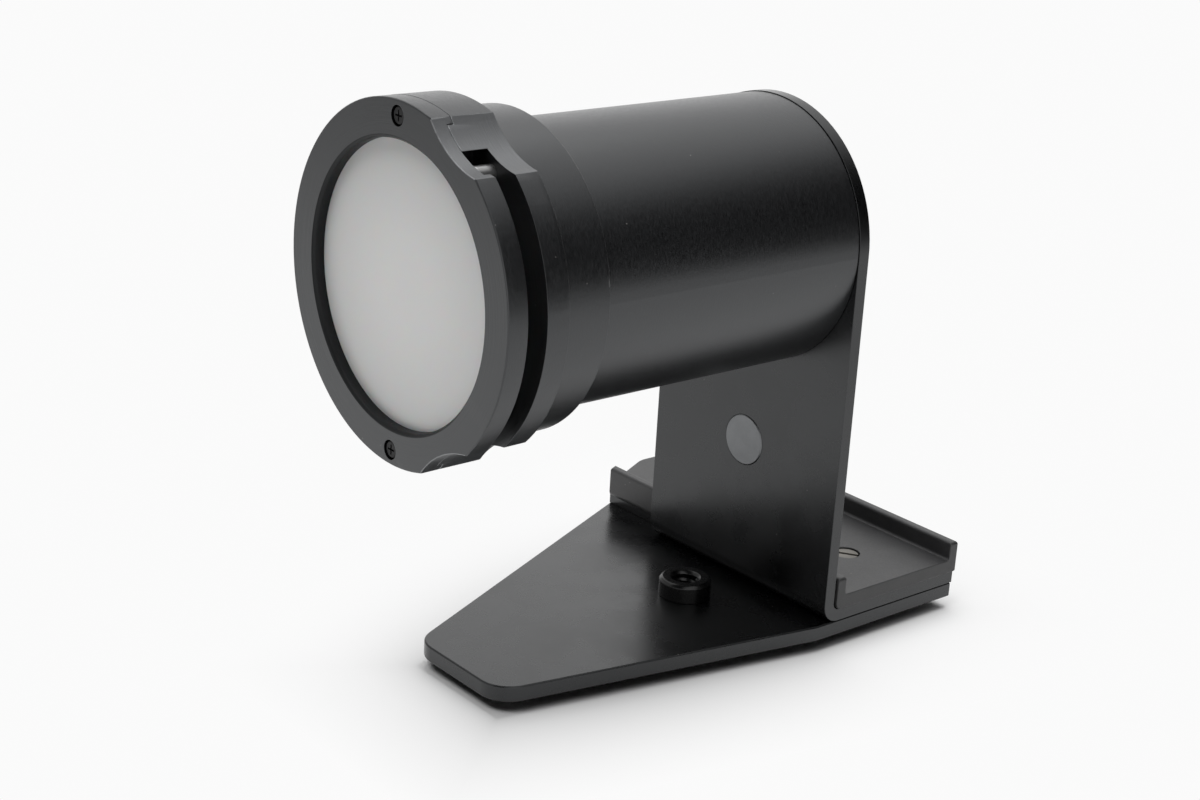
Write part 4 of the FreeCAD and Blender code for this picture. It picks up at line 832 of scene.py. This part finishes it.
def make_card(name, place, target, width, height, fade, low, high):
    """A card out of view that surfaces mirror: it brightens upwards from one level to another."""
    mesh = bpy.data.meshes.new(name)
    shape = bmesh.new()
    bmesh.ops.create_grid(shape, x_segments=1, y_segments=1, size=0.5)
    shape.to_mesh(mesh)
    shape.free()
    card = bpy.data.objects.new(name, mesh)
    bpy.context.scene.collection.objects.link(card)
    card.scale = (width, height, 1.0)
    card.location = place
    card.rotation_mode = "QUATERNION"
    card.rotation_quaternion = (Vector(target) - Vector(place)).to_track_quat("Z", "Y")
    material, tree, shader = new_finish(name)
    shader.inputs["Base Color"].default_value = (0.0, 0.0, 0.0, 1.0)
    shader.inputs["Specular IOR Level"].default_value = 0.0
    height = tree.add("ShaderNodeSeparateXYZ", {"Vector": tree.object_place()}).outputs["Y"]
    shader.inputs["Emission Color"].default_value = (1.0, 1.0, 1.0, 1.0)
    tree.feed(shader.inputs["Emission Strength"], tree.span(height, *fade, low, high, smooth=True))
    material.cycles.emission_sampling = "NONE"
    mesh.materials.append(material)
    card.visible_camera = False
    card.visible_shadow = False
    card.visible_diffuse = False


def make_camera():
    """A camera in front, to the right and above."""
    place = Vector((0.3485, -0.3309, 0.2227))
    turn, tilt, roll = (math.radians(angle) for angle in (49.36, 19.31, 3.31))
    right = Vector((math.cos(turn), math.sin(turn), 0.0))
    back = Vector((math.sin(turn) * math.cos(tilt), -math.cos(turn) * math.cos(tilt), math.sin(tilt)))
    up = back.cross(right)
    side = math.cos(roll) * right + math.sin(roll) * up
    top = math.cos(roll) * up - math.sin(roll) * right
    data = bpy.data.cameras.new("camera")
    data.lens = 62.23
    data.sensor_width = 36.0
    data.clip_start = 0.01
    camera = bpy.data.objects.new("camera", data)
    bpy.context.scene.collection.objects.link(camera)
    camera.matrix_world = Matrix((
        (side.x, top.x, back.x, place.x),
        (side.y, top.y, back.y, place.y),
        (side.z, top.z, back.z, place.z),
        (0, 0, 0, 1)))
    bpy.context.scene.camera = camera


def make_studio():
    make_world(0.6)
    make_floor()
    make_softbox("top_softbox", (-0.2, 0.1, 0.95), (0, 0, 0.05), 0.6, 0.6, 1.8)
    make_softbox("key_softbox", (-0.25, 0.4, 1.1), (0, 0, 0), 0.9, 0.9, 5.0, mirrored=False)
    make_softbox("front_softbox", (0.0, -0.6, 1.35), (0, 0, 0), 0.8, 0.8, 8.5, mirrored=False)
    make_softbox("ceiling_softbox", (0, 0, 1.9), (0, 0, 0), 3.4, 3.4, 5.0, mirrored=False)
    make_softbox("left_softbox", (-0.95, 1.0, 0.35), (0, 0, 0.08), 1.6, 0.8, 1.0)
    make_card("side_card", (0.447, 0.533, 0.379), (0, 0, 0.098), 1.2, 1.1, (0.1, 0.5), 0.0, 1.0)
    make_card("front_card", (-0.4, -0.36, 0.3), (0, 0, 0.3), 1.2, 0.65, (-0.5, -0.3), 0.55, 0.5)
    make_card("room_card", (0.25, -0.78, 0.75), (0, -0.09, 0.098), 0.7, 0.8, (0.3, 0.5), 0.0, 0.5)
    make_camera()
    bpy.context.scene.view_settings.view_transform = "Standard"


# ---------------------------------------------------------------- making

make_groups()
FINISHES = make_finishes()
dress_cad_nodes()
make_pieces()
make_studio()
